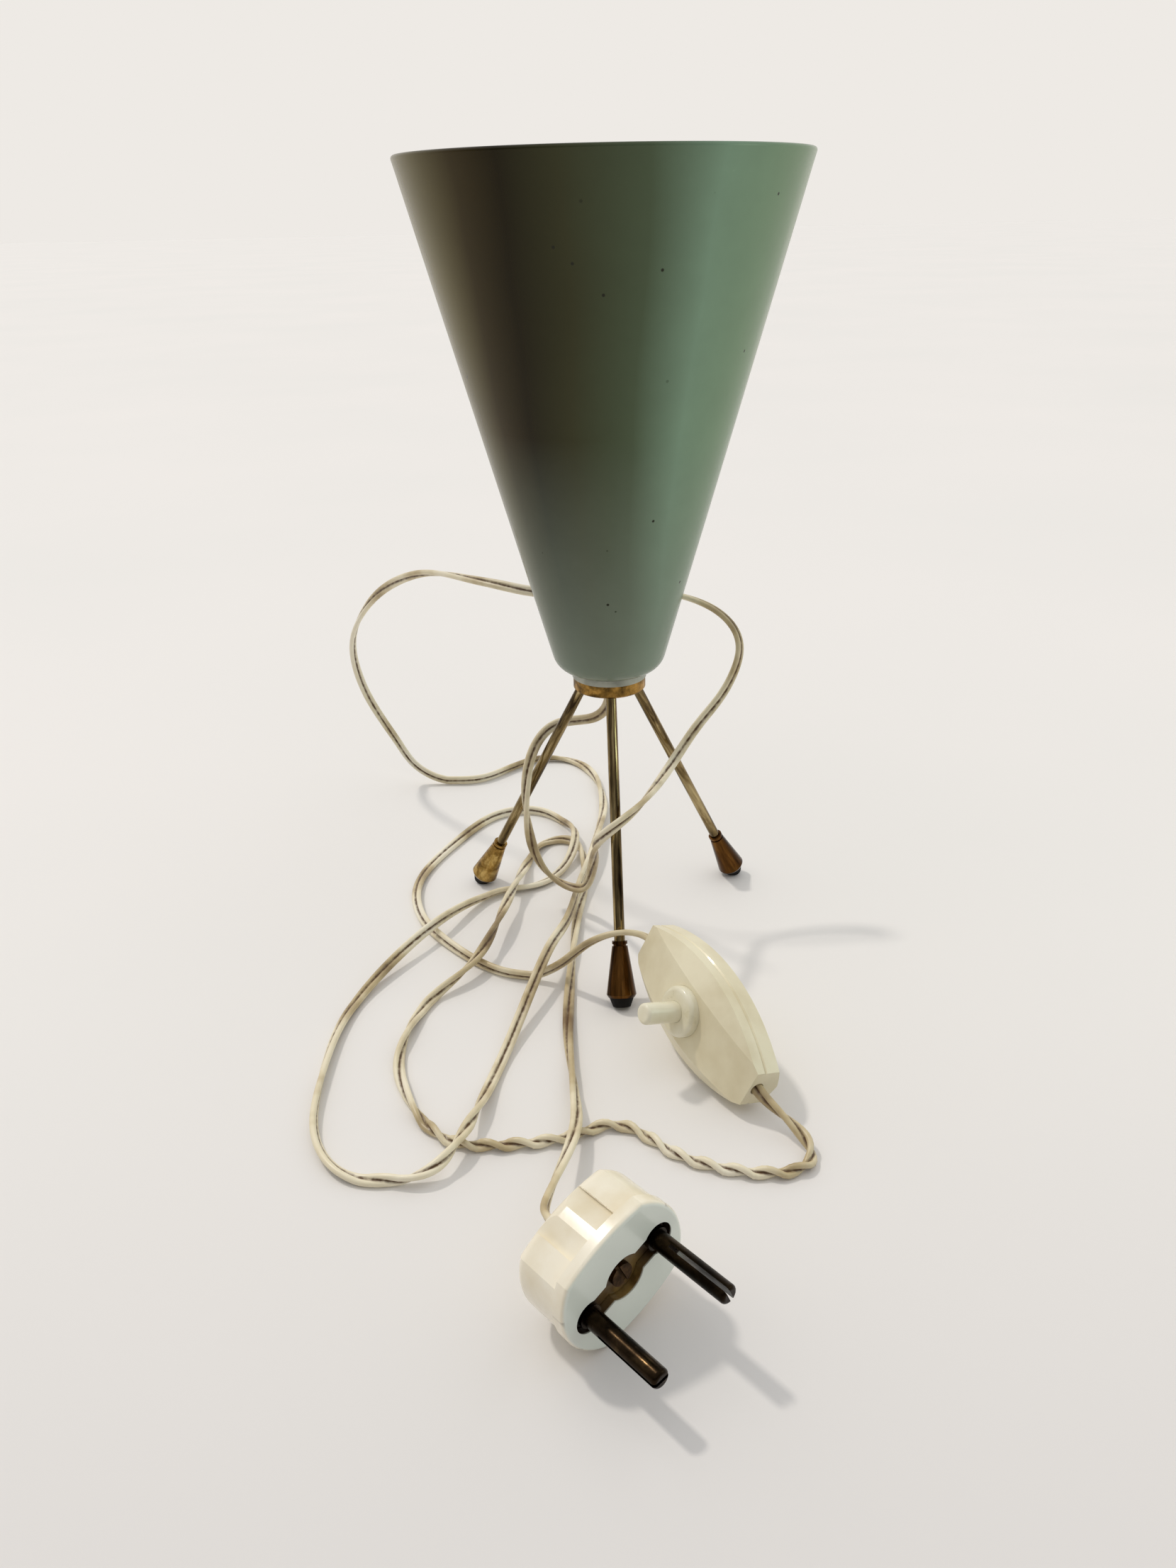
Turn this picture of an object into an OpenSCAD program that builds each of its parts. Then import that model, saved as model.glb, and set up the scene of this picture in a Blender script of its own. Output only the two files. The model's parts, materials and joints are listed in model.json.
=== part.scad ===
// Small tripod uplighter: a spun metal cone on a brass disc and three brass legs,
// with a flat two-core flex that carries a push-button switch and a two-pin plug.
// Millimetres, +Z up. The table is z = 0 and the lamp's axis is x = 0, y = 0.
// The front leg points along -Y.

/* [Shade] */
// Height of the rim above the table
rim_z = 210; // [190:1:240]
// Outer diameter of the rim
rim_d = 100; // [90:1:110]
// Outer diameter that the cone's side would have at its flat bottom
shade_foot_d = 29; // [28:0.5:32]
// Thickness of the spun metal
shade_wall = 1; // [0.8:0.1:1.4]
// Outer radius of the rounded bottom edge
shade_round = 6; // [4:0.5:7]

/* [Stand] */
// Height of the underside of the brass disc
stand_h = 76.3; // [70:0.1:82]
// Diameter of the brass disc
disc_d = 20.4; // [20:0.1:23]
// Thickness of the brass disc
disc_t = 3.5; // [3.2:0.1:5]
// Diameter of the pale washer between disc and shade
washer_d = 20.9; // [18:0.1:23]
// Thickness of the pale washer
washer_t = 2; // [1.2:0.1:3]
// Distance from the lamp's axis at which a leg leaves the disc
leg_root_r = 7.9; // [7.7:0.1:8.2]
// Distance from the lamp's axis at which a leg's line meets the table
foot_r = 48.4; // [44:0.1:54]
// Diameter of a leg
leg_d = 3; // [2.6:0.1:3.2]
// Depth of a leg's seat in the disc
leg_seat = 2.4; // [1.6:0.1:2.8]

/* [Feet] */
// Length of a brass foot
foot_len = 15.5; // [12:0.5:18]
// Diameter of a foot at its top
foot_top_d = 4.3; // [4:0.1:5]
// Largest diameter of a foot
foot_max_d = 8.3; // [7.6:0.1:9.5]
// Length of the bevel at the bottom of a foot
foot_bevel = 0.8; // [0.6:0.1:1.6]
// Diameter of the rubber tip under the brass foot
tip_d = 6.8; // [6.4:0.1:7]
// Diameter of the rubber tip at its worn end
tip_end_d = 4.8; // [4.6:0.1:5.6]
// Distance along the leg's line from the table to the brass foot
tip_show = 3; // [2.8:0.1:4]
// Distance along the leg's line from the table to the tip's worn end
tip_low = 0.4; // [0.2:0.1:0.8]
// Depth of the leg's seat in the foot
foot_seat = 9; // [6:0.5:9]

/* [Lamp holder] */
// Outer diameter of the threaded nipple
nipple_d = 8; // [7.6:0.1:8]
// Bore of the nipple
nipple_bore = 6; // [5.8:0.1:6.2]
// Outer diameter of the holder
holder_d = 23; // [22:0.5:23.5]
// Height of the holder's lower cap
cap_h = 13; // [12:0.5:15]
// Height of the holder's upper sleeve
sleeve_h = 24; // [22:0.5:26]
// Diameter of the bulb's screw cap
bulb_cap_d = 13.9; // [13.6:0.1:14]
// Diameter of the glass bulb
bulb_d = 45; // [40:1:45]

/* [Switch] */
// Length of the switch
switch_l = 53; // [50:1:56]
// Width of the switch at its middle
switch_w = 24.8; // [23:0.2:26]
// Width of each cut end
switch_end_w = 10.4; // [9:0.2:12]
// Height of the front shell at its middle, over the joint
front_h = 6.4; // [6:0.1:7]
// Height of the front shell at its ends, over the joint
front_end_h = 2.6; // [2.4:0.1:3.4]
// Depth of the back shell at its middle
back_h = 8; // [7.6:0.1:9]
// Depth of the back shell's upright wall
back_wall_h = 4.3; // [3.6:0.1:4.6]
// Wall of the two shells
switch_wall = 1.6; // [1.2:0.1:1.8]
// Diameter of the ring round the button
collar_d = 12.9; // [12:0.1:14]
// Height of the ring over the front shell
collar_h = 2.4; // [2:0.1:3]
// Diameter of the push-button
button_d = 5.4; // [5:0.1:6.4]
// How far the button stands out of its ring
button_out = 10.1; // [9:0.1:11]
// Travel of the button
button_travel = 3; // [2:0.1:3.4]

/* [Plug] */
// Distance between the two pins
pin_pitch = 19; // [19:0.1:19.2]
// Diameter of a pin
pin_d = 4; // [4:0.1:4.8]
// Diameter of a pin's shank in the brown block
shank_d = 5; // [4.9:0.1:5.4]
// Length of a pin in front of the face
pin_l = 19; // [17:0.5:20]
// Width of the slit in a pin
slit_w = 0.8; // [0.6:0.1:1]
// Length of the slit from the pin's end
slit_l = 15; // [12:0.5:17]
// Radius of the face's round ends
face_r = 15.6; // [15.4:0.1:17]
// Half the width of the face across the pins
face_half = 13; // [12.8:0.1:14]
// Thickness of the face's flange
face_t = 3; // [2.8:0.1:4]
// Depth of the whole plug behind its face
plug_depth = 15.5; // [15:0.5:18]
// How far the body's round ends stand in from the flange
lobe_in = 0.5; // [0.3:0.1:1]
// How far the body's broad sides stand in from the flange
side_in = 1.4; // [0.8:0.1:1.8]

/* [Flex] */
// Width of the two-core flex
flex_d = 3.1; // [2.9:0.1:3.3]

/* [Fits] */
// Gap all round a part in its bore
fit = 0.05; // [0.03:0.01:0.08]
// Gap all round a screw or a lead in its hole
loose = 0.2; // [0.15:0.05:0.3]

/* [Hidden] */
$fn = 64;

// A little more than a face, so that a cut goes right through it
eps = 0.1;
far = 200;

// Compass bearings of the three legs
front_bearing = -90;
left_bearing = 150;
right_bearing = 30;

// Lean of the legs from upright, and the length of a leg's line below the disc
leg_lean = atan((foot_r - leg_root_r) / stand_h);
leg_run = norm([foot_r - leg_root_r, stand_h]);
foot_top = tip_show + foot_len;
tip_stem_d = 4;

// Heights of the stack on the lamp's axis
disc_top = stand_h + disc_t;
shade_z = disc_top + washer_t;
shade_floor = shade_z + shade_wall;
nut_h = 3;
nut_af = 13;
cap_z = shade_floor + nut_h + fit;
cap_floor = 3;
sleeve_z = cap_z + cap_h;
nipple_top = cap_z + cap_floor + 1;
holder_top = sleeve_z + sleeve_h;

// Flat two-core flex, drawn as one round tube
flex_hole_d = flex_d + 0.4;
flex_sides = 8;

// Route of the flex from the lamp to the switch
lamp_route = [
    [0, 0, 80.3], [0, 0, 71], [-3.5, 4.5, 65], [-9.5, 12, 61], [-16.5, 15.5, 58.5],
    [-22.5, 11, 53], [-25.5, 6, 40], [-22.5, 9, 15], [-17, 6.8, 9.5], [-9, 1, 9.6],
    [-6, -10, 24], [-5.5, -24, 38.5], [-3, -29.5, 44.5], [2, -29.5, 48.5], [8, -21, 49.5],
    [18.5, 3, 50], [26, 10, 58], [36, 15, 69], [40, 17, 82], [35, 19, 90],
    [23, 21.5, 95.5], [0, 22, 98], [-18, 24, 97], [-36, 34, 98], [-57, 56, 95],
    [-76, 77, 81], [-87, 91, 61], [-86, 99, 40], [-77, 102, 19], [-70, 101, 8],
    [-60, 99, 2.6], [-45, 99, 1.7], [-33, 109, 1.7], [-22, 117, 1.7], [-10, 115, 1.7],
    [-2, 101, 1.7], [1, 76, 1.7], [-4.5, 35.3, 6], [-9.6, 13.3, 5.3], [-14, -9.1, 5.5],
    [-20, -30.5, 8.8], [-33, -72, 1.7], [-41, -102, 5.4], [-46.6, -111, 4.2], [-56.3, -111.8, 1.9],
    [-68, -109, 1.7], [-76, -97, 1.7], [-78, -73, 1.7], [-74, -43, 1.7], [-54, -9, 5.6],
    [-37, 14, 1.7], [-23, 18, 1.7], [-14, 29, 2.4], [-10, 45.5, 5.6], [-14, 61, 2.4],
    [-24, 71, 1.7], [-37, 69, 1.7], [-51, 50, 1.7], [-62, 23, 1.7], [-59, 0, 1.7],
    [-45, -21, 1.7], [-33, -31.5, 1.7], [-25.5, -33.5, 1.8], [-19, -35, 5.3], [-13.5, -39.2, 12],
    [-8.3, -42, 17.8], [-2.9, -43.6, 21.2], [1.2, -43.3, 21.6], [5.4, -44, 21.4], [8.4, -45.9, 20.8],
    [9.9, -49.3, 19.9]
];

// Route of the flex from the switch to the plug
plug_route = [
    [28.4, -91, 8.8], [29.5, -93.7, 8.1], [30.8, -96.1, 7.2], [34.8, -99.7, 5.5], [39.2, -104.6, 3.5],
    [40.9, -108.9, 2.2], [38.1, -113.2, 1.7], [32.6, -114.4, 1.7], [24.3, -113.7, 1.7], [15.6, -110.9, 1.7],
    [7.9, -106.4, 1.7], [2, -99.9, 1.7], [-5.2, -95.5, 1.7], [-14.8, -99.7, 1.7], [-24.1, -101.3, 1.7],
    [-37.9, -101.5, 1.7], [-44, -99.9, 1.7], [-51.7, -91.1, 1.7], [-58.6, -73.8, 1.7], [-59, -64.3, 1.7],
    [-53.7, -43.8, 1.7], [-41.1, -29.2, 5.4], [-30.6, 9.8, 6.1], [-25.5, 35.9, 1.9], [-20.4, 47.6, 1.7],
    [-13, 48.6, 1.7], [-8.9, 42.7, 1.7], [-7.2, 19.6, 1.7], [-10.2, 3.9, 1.7], [-11.8, -10.7, 1.7],
    [-15.1, -58.6, 1.7], [-14.1, -84.6, 3.4], [-13.9, -99, 5.4], [-16.3, -110.4, 7], [-19, -120.3, 9],
    [-21.3, -130.4, 11.2], [-21.4, -136.3, 13.2], [-16.4, -141, 14.2], [-13.2, -144.9, 14.4]
];

// Places of a part along a leg. Its own z runs up the leg's line from the table.
module on_leg(bearing) {
    rotate([0, 0, bearing])
        translate([foot_r, 0, 0])
            rotate([0, -leg_lean, 0])
                children();
}

module tube(outer, bore, h) {
    difference() {
        cylinder(d = outer, h = h);
        translate([0, 0, -eps]) cylinder(d = bore, h = h + 2 * eps);
    }
}

// Disc with its upper edge rounded to radius e
module rounded_disc(r, h, e) {
    rotate_extrude() {
        square([r - e, h]);
        square([r, h - e]);
        translate([r - e, h - e]) intersection() {
            circle(e);
            square(e);
        }
    }
}

// Half section of the cone, from the axis out to a skin that lies "inset" inside the
// outer surface. The bottom edge is an arc that touches the floor and the side.
module cone_section(inset) {
    slope = (rim_d - shade_foot_d) / 2 / (rim_z - shade_z);
    lean = atan(slope);
    round_r = shade_round - inset;
    floor_z = shade_z + inset;
    foot = shade_foot_d / 2 + slope * inset - inset / cos(lean);
    arc_x = foot + slope * round_r - round_r / cos(lean);
    arc_z = floor_z + round_r;
    polygon([
        [0, floor_z],
        [arc_x, floor_z],
        [arc_x + round_r * cos(lean), arc_z - round_r * sin(lean)],
        [foot + slope * (rim_z - floor_z), rim_z],
        [0, rim_z]
    ]);
    translate([arc_x, arc_z]) intersection() {
        circle(round_r);
        translate([0, -round_r]) square([round_r, 2 * round_r]);
    }
}

module shade() {
    bead_r = 0.75;
    color([0.56, 0.62, 0.57]) difference() {
        union() {
            rotate_extrude() difference() {
                cone_section(0);
                difference() {
                    cone_section(shade_wall);
                    translate([-eps, 0]) square([eps, far]);
                }
            }
            translate([0, 0, rim_z]) rotate_extrude()
                translate([rim_d / 2 - bead_r, 0]) circle(bead_r);
        }
        translate([0, 0, shade_z - eps])
            cylinder(d = nipple_d + 2 * loose, h = shade_wall + 2 * eps);
    }
}

module shade_washer() {
    color([0.80, 0.80, 0.72]) translate([0, 0, disc_top]) difference() {
        rounded_disc(washer_d / 2, washer_t, 0.4);
        translate([0, 0, -eps]) cylinder(d = nipple_d + 2 * loose, h = washer_t + 2 * eps);
    }
}

// Everything below the bottom of the legs' seats in the disc
module below_seats() {
    translate([-far / 2, -far / 2, stand_h + leg_seat - far]) cube(far);
}

module base_disc() {
    edge = 0.4;
    color([0.62, 0.50, 0.28]) difference() {
        translate([0, 0, stand_h]) {
            cylinder(d1 = disc_d - 2 * edge, d2 = disc_d, h = edge);
            translate([0, 0, edge]) cylinder(d = disc_d, h = disc_t - edge);
        }
        translate([0, 0, stand_h - eps]) cylinder(d = nipple_d + 2 * fit, h = disc_t + 2 * eps);
        for (bearing = [front_bearing, left_bearing, right_bearing])
            intersection() {
                on_leg(bearing) translate([0, 0, leg_run / 2])
                    cylinder(d = leg_d + 2 * fit, h = leg_run);
                below_seats();
            }
    }
}

module leg(bearing) {
    color([0.52, 0.42, 0.25]) intersection() {
        on_leg(bearing) translate([0, 0, foot_top - foot_seat + fit])
            cylinder(d = leg_d, h = leg_run);
        translate([0, 0, -fit]) below_seats();
    }
}

// Turned brass foot: a ring and a groove at its top, a long taper and a bevel
module foot(bearing) {
    ring_h = 0.9;
    groove_h = 0.5;
    groove_in = 0.35;
    socket_h = 3;
    taper_h = foot_len - foot_bevel - ring_h - groove_h;
    bevel_in = 0.5;
    color([0.48, 0.37, 0.20]) on_leg(bearing) translate([0, 0, tip_show]) difference() {
        union() {
            cylinder(d1 = foot_max_d - 2 * bevel_in, d2 = foot_max_d, h = foot_bevel);
            translate([0, 0, foot_bevel])
                cylinder(d1 = foot_max_d, d2 = foot_top_d, h = taper_h);
            translate([0, 0, foot_bevel + taper_h])
                cylinder(d = foot_top_d - 2 * groove_in, h = groove_h);
            translate([0, 0, foot_len - ring_h]) cylinder(d = foot_top_d, h = ring_h);
        }
        translate([0, 0, foot_len - foot_seat]) cylinder(d = leg_d + 2 * fit, h = foot_seat + eps);
        translate([0, 0, -eps]) cylinder(d = tip_stem_d + 2 * fit, h = socket_h + eps);
    }
}

// Rubber tip with a stem in the foot, worn flat where it stands on the table
module foot_tip(bearing) {
    stem_h = 2.5;
    color([0.10, 0.09, 0.08]) intersection() {
        on_leg(bearing) {
            translate([0, 0, tip_show - fit - eps]) cylinder(d = tip_stem_d, h = stem_h + eps);
            translate([0, 0, tip_low])
                cylinder(d1 = tip_end_d, d2 = tip_d, h = tip_show - fit - tip_low);
        }
        translate([-far / 2, -far / 2, 0]) cube(far);
    }
}

module nipple() {
    color([0.60, 0.50, 0.30]) translate([0, 0, stand_h])
        tube(nipple_d, nipple_bore, nipple_top - stand_h);
}

// Bush that lines the lower end of the nipple
bush_flange_d = 11;
bush_flange_h = 1;
bush_nose_h = 1.6;
bush_stem_h = 4;
module cord_bush() {
    color([0.16, 0.13, 0.10]) translate([0, 0, stand_h]) difference() {
        union() {
            translate([0, 0, -fit]) cylinder(d = nipple_bore - 2 * fit, h = bush_stem_h);
            translate([0, 0, -bush_flange_h - fit]) cylinder(d = bush_flange_d, h = bush_flange_h);
            translate([0, 0, -bush_flange_h - bush_nose_h - fit])
                cylinder(d1 = flex_hole_d + 1.2, d2 = flex_hole_d + 2.6, h = bush_nose_h);
        }
        translate([0, 0, -bush_flange_h - bush_nose_h - eps])
            cylinder(d = flex_hole_d, h = bush_flange_h + bush_nose_h + bush_stem_h + 2 * eps);
    }
}

module shade_nut() {
    color([0.72, 0.66, 0.45]) translate([0, 0, shade_floor]) difference() {
        cylinder(d = nut_af / cos(30), h = nut_h, $fn = 6);
        translate([0, 0, -eps]) cylinder(d = nipple_d + 2 * fit, h = nut_h + 2 * eps);
    }
}

// Lamp holder: a cap below, a ceramic insert, and a sleeve that screws over the cap
holder_wall = 1.5;
insert_d = holder_d - 2 * holder_wall - 2 * loose;
insert_z = cap_z + cap_floor + 3;
insert_h = 10;
shell_d = bulb_cap_d + 2 * loose + 0.8;
shell_z = insert_z + insert_h;
terminal_x = 6;

module holder_cap() {
    chamfer = 2;
    color([0.10, 0.09, 0.09]) translate([0, 0, cap_z]) difference() {
        union() {
            cylinder(d1 = holder_d - 2 * chamfer, d2 = holder_d, h = chamfer);
            translate([0, 0, chamfer]) cylinder(d = holder_d, h = cap_h - chamfer);
        }
        translate([0, 0, -eps]) cylinder(d = nipple_d + 2 * fit, h = cap_floor + 2 * eps);
        translate([0, 0, cap_floor]) cylinder(d = insert_d - 3, h = cap_h);
        translate([0, 0, insert_z - cap_z]) cylinder(d = insert_d + 2 * loose, h = cap_h);
    }
}

module holder_insert() {
    color([0.90, 0.88, 0.82]) translate([0, 0, insert_z]) difference() {
        cylinder(d = insert_d, h = insert_h);
        for (side = [-1, 1]) {
            translate([side * terminal_x, 0, -eps]) cylinder(d = 3 + 2 * fit, h = 6);
            translate([side * 1.6, 0, -eps]) cylinder(d = 2.2, h = 3);
        }
        translate([0, 0, insert_h - 4]) cylinder(d = 4 + 2 * fit, h = 4 + eps);
    }
}

module holder_sleeve() {
    lip_h = 3;
    color([0.12, 0.10, 0.10]) translate([0, 0, sleeve_z]) difference() {
        rounded_disc(holder_d / 2, sleeve_h, 0.8);
        translate([0, 0, -eps])
            cylinder(d = insert_d + 2 * loose, h = shell_z - sleeve_z + 0.5 + eps);
        translate([0, 0, -eps]) cylinder(d = shell_d + 2 * fit, h = sleeve_h - lip_h);
        translate([0, 0, -eps]) cylinder(d = bulb_cap_d + 2 * loose, h = sleeve_h + 2 * eps);
    }
}

// Threaded shell that the bulb screws into, with its floor on the insert
contact_hole_d = 7;
module screw_shell() {
    shell_wall = 0.4;
    shell_h = holder_top - 3 - shell_z - 0.4;
    color([0.75, 0.66, 0.42]) translate([0, 0, shell_z]) difference() {
        cylinder(d = shell_d, h = shell_h);
        translate([0, 0, shell_wall]) cylinder(d = shell_d - 2 * shell_wall, h = shell_h);
        translate([0, 0, -eps]) cylinder(d = contact_hole_d, h = 1);
    }
}

contact_top = shell_z + 2;
module centre_contact() {
    color([0.80, 0.70, 0.45]) {
        translate([0, 0, shell_z - 4 + fit]) cylinder(d = 4, h = 4.8);
        translate([0, 0, shell_z + 0.8 + fit]) cylinder(d = 3, h = contact_top - shell_z - 0.8 - fit);
    }
}

module holder_screws() {
    color([0.70, 0.62, 0.40]) for (side = [-1, 1])
        translate([side * terminal_x, 0, insert_z - 1.5]) {
            cylinder(d = 4, h = 1.5);
            cylinder(d = 3, h = 6.5);
        }
}

// The two leads run up the nipple from the bush to the insert
module holder_leads() {
    lead_d = 1.8;
    lead_z = stand_h + bush_stem_h + 0.1;
    color([0.85, 0.80, 0.65]) for (side = [-1, 1])
        translate([side * 1.6, 0, lead_z]) cylinder(d = lead_d, h = insert_z + 2.8 - lead_z);
}

bulb_foot_d = 9;
bulb_z = contact_top + 1.6;
bulb_cap_h = 21;
thread_h = 0.5;
thread_d = bulb_cap_d - 2 * thread_h;
bulb_cap_wall = 0.4;
glass_z = bulb_z + bulb_cap_h;
glass_wall = 0.8;
glass_neck_r = thread_d / 2 - bulb_cap_wall - 2 * fit;
glass_sweep = 10;
glass_sink = 8;
glass_reach = bulb_d / 2 + glass_sweep;
glass_rise = sqrt(glass_reach * glass_reach - pow(glass_neck_r + glass_sweep, 2));
bulb_mid = glass_z + 0.5 + glass_rise;

module bulb_cap() {
    pitch = 2.8;
    color([0.78, 0.76, 0.70]) translate([0, 0, bulb_z]) difference() {
        union() {
            cylinder(d1 = bulb_foot_d, d2 = thread_d, h = 2.5);
            translate([0, 0, 2.5]) cylinder(d = thread_d, h = bulb_cap_h - 2.5);
            for (turn = [0:4])
                translate([0, 0, 3.5 + turn * pitch]) rotate_extrude()
                    translate([thread_d / 2, 0]) circle(thread_h);
        }
        translate([0, 0, 2.5]) cylinder(d = thread_d - 2 * bulb_cap_wall, h = bulb_cap_h);
        translate([0, 0, -eps]) cylinder(d = 5, h = 3);
    }
}

module bulb_tip() {
    color([0.15, 0.13, 0.15]) {
        translate([0, 0, bulb_z]) cylinder(d = 5 - 2 * fit, h = 2.5);
        translate([0, 0, contact_top + fit]) cylinder(d = 3.6, h = bulb_z - contact_top - fit);
    }
}

// Half section of the glass: a globe that runs down into a neck through an arc
module glass_section(inset) {
    neck_r = glass_neck_r - inset;
    globe_r = bulb_d / 2 - inset;
    sweep_r = glass_sweep + inset;
    share = globe_r / glass_reach;
    foot_z = glass_z - glass_sink + inset;
    difference() {
        union() {
            intersection() {
                translate([0, bulb_mid]) circle(globe_r);
                square([far, far * 2]);
            }
            polygon([
                [0, foot_z],
                [neck_r, foot_z],
                [neck_r, bulb_mid - glass_rise],
                [(neck_r + sweep_r) * share, bulb_mid - glass_rise * share],
                [0, bulb_mid]
            ]);
        }
        translate([neck_r + sweep_r, bulb_mid - glass_rise]) circle(sweep_r);
    }
}

module bulb_glass() {
    color([0.93, 0.93, 0.90]) rotate_extrude() difference() {
        glass_section(0);
        glass_section(glass_wall);
    }
}

// Glass stem, two support wires and the filament across them
stem_foot_d = 9;
stem_d = 4;
stem_h = 8;
wire_d = 0.6;
wire_h = 17;
wire_base_x = 1.2;
wire_span = 7;
filament_d = 0.8;
module bulb_stem() {
    stem_z = glass_z - glass_sink + glass_wall;
    wire_lean = atan(wire_span / wire_h);
    wire_z = stem_z + 2 * stem_h - 1.5 * wire_d;
    wire_end = wire_base_x + wire_h * sin(wire_lean);
    color([0.85, 0.85, 0.80]) {
        translate([0, 0, stem_z]) {
            cylinder(d1 = stem_foot_d, d2 = stem_d, h = stem_h);
            translate([0, 0, stem_h]) cylinder(d = stem_d, h = stem_h);
        }
        for (side = [-1, 1])
            translate([side * wire_base_x, 0, wire_z]) rotate([0, side * wire_lean, 0])
                cylinder(d = wire_d, h = wire_h);
        translate([-wire_end, 0, wire_z + wire_h * cos(wire_lean) - wire_d])
            rotate([0, 90, 0]) cylinder(d = filament_d, h = 2 * wire_end);
    }
}

// Functions that sweep a tube with flat sides along a route of points
function unit(v) = v / norm(v);
function run_in(route, i) = unit(route[max(i, 1)] - route[max(i, 1) - 1]);
function run_out(route, i) = unit(route[min(i, len(route) - 2) + 1] - route[min(i, len(route) - 2)]);
function heading(route, i) = unit(run_in(route, i) + run_out(route, i));
function square_to(side, along) = unit(side - (side * along) * along);
function ring_sides(route, start) =
    [for (i = 0, side = square_to(start, heading(route, 0));
        i < len(route);
        i = i + 1, side = square_to(side, heading(route, min(i, len(route) - 1)))) side];
function ring_points(route, r, sides, start) =
    let (carried = ring_sides(route, start))
    [for (i = [0:len(route) - 1])
        let (across = cross(heading(route, i), carried[i]))
        for (k = [0:sides - 1])
            let (a = (k + 0.5) * 360 / sides)
            route[i] + r * cos(a) * carried[i] + r * sin(a) * across];

module swept_tube(route, r, sides, start) {
    rings = len(route);
    faces = concat(
        [for (k = [1:sides - 2]) [0, k + 1, k]],
        [for (k = [1:sides - 2]) [(rings - 1) * sides, (rings - 1) * sides + k, (rings - 1) * sides + k + 1]],
        [for (i = [0:rings - 2]) for (k = [0:sides - 1])
            [i * sides + k, i * sides + (k + 1) % sides, (i + 1) * sides + k]],
        [for (i = [0:rings - 2]) for (k = [0:sides - 1])
            [i * sides + (k + 1) % sides, (i + 1) * sides + (k + 1) % sides, (i + 1) * sides + k]]);
    polyhedron(points = ring_points(route, r, sides, start), faces = faces, convexity = 10);
}

module lamp_flex() {
    color([0.90, 0.85, 0.68]) swept_tube(lamp_route, flex_d / 2, flex_sides, [1, 0, 0]);
}

module plug_flex() {
    color([0.90, 0.85, 0.68]) swept_tube(plug_route, flex_d / 2, flex_sides, [0, 0, 1]);
}

// The switch lies on its edge. Its x runs from the lamp's end to the plug's end, its z
// along the button, and its shells meet at its z = 0. Its arcs come from two circles.
switch_yaw = 23.9;
switch_pitch = 13.7;
switch_roll = 18.2;
switch_arc = ((switch_l / 2) * (switch_l / 2) + pow((switch_w - switch_end_w) / 2, 2)) / (switch_w - switch_end_w);
arc_off = switch_arc - switch_w / 2;
edge_round = 0.4;
lean_x = sin(switch_pitch);
lean_y = cos(switch_pitch) * cos(switch_roll);
lean_z = cos(switch_pitch) * sin(switch_roll);
switch_at = [19.1, -70.1, switch_arc * norm([lean_x, lean_y]) - arc_off * lean_y + back_wall_h * lean_z + 0.1];
module at_switch() {
    translate(switch_at) rotate([90 - switch_roll, switch_pitch, switch_yaw - 90]) children();
}

// Solid common to two turned discs whose rims are the switch's long sides, cut to length
module lens(half_l) {
    intersection() {
        translate([0, -arc_off, 0]) rotate_extrude() children();
        translate([0, arc_off, 0]) rotate_extrude() children();
        translate([-half_l, -far / 2, -far / 2]) cube([2 * half_l, far, far]);
    }
}

// Half section of the front shell's disc: a low wall, a wide bevel and a flat face
module front_section(inset) {
    side_h = 3.2;
    bevel = 4.7;
    thicken = 0.6;
    polygon([
        [0, inset > 0 ? -eps : 0],
        [switch_arc - inset - (inset > 0 ? 0 : edge_round), inset > 0 ? -eps : 0],
        [switch_arc - inset, edge_round],
        [switch_arc - inset, side_h - thicken * inset],
        [switch_arc - inset - bevel, front_h - inset],
        [0, front_h - inset]
    ]);
}

// Solid under the front shell's arched face, which falls to both ends
front_drop = front_h - front_end_h;
front_arch = (switch_l * switch_l / 4 + front_drop * front_drop) / (2 * front_drop);
module under_arch(inset) {
    translate([0, 0, front_h - inset - front_arch]) rotate([90, 0, 0])
        cylinder(r = front_arch, h = far, center = true, $fn = 256);
}

// Half section of the back shell's disc: an upright wall, then one arc to the flat middle
crown = ((switch_w / 2) * (switch_w / 2) + pow(back_h - back_wall_h, 2)) / (2 * (back_h - back_wall_h));
module back_section(inset) {
    difference() {
        intersection() {
            union() {
                translate([0, -back_h + inset]) square([arc_off, back_h - inset + eps]);
                translate([arc_off, -back_h + crown]) circle(crown - inset, $fn = 128);
            }
            translate([0, -back_h - eps]) square([switch_arc - inset, back_h + eps + (inset > 0 ? eps : 0)]);
        }
        if (inset == 0) translate([switch_arc, 0]) rotate([0, 0, 45])
            square(edge_round * 1.4142, center = true);
    }
}

// Places of the two screws and of the two terminal blocks in the switch
switch_screw_x = 13;
switch_screw_y = 5.5;
switch_screw_d = 2.4;
screw_head_d = 4.2;
screw_head_h = 1.6;
screw_boss_d = 4.6;
terminal_at = 10.5;
terminal_size = [5, 5, 3.5];
terminal_z = -3;
neck_d = 9;
neck_low = 2;
collar_seat = front_h - 0.3;
screw_top = front_h - 2.8;
head_seat = -back_wall_h - 0.3;
module screw_places() {
    for (side = [-1, 1]) translate([side * switch_screw_x, -side * switch_screw_y, 0]) children();
}
module flex_hole(l) {
    rotate([0, 90, 0]) cylinder(d = flex_hole_d, h = l, center = true);
}

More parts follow.
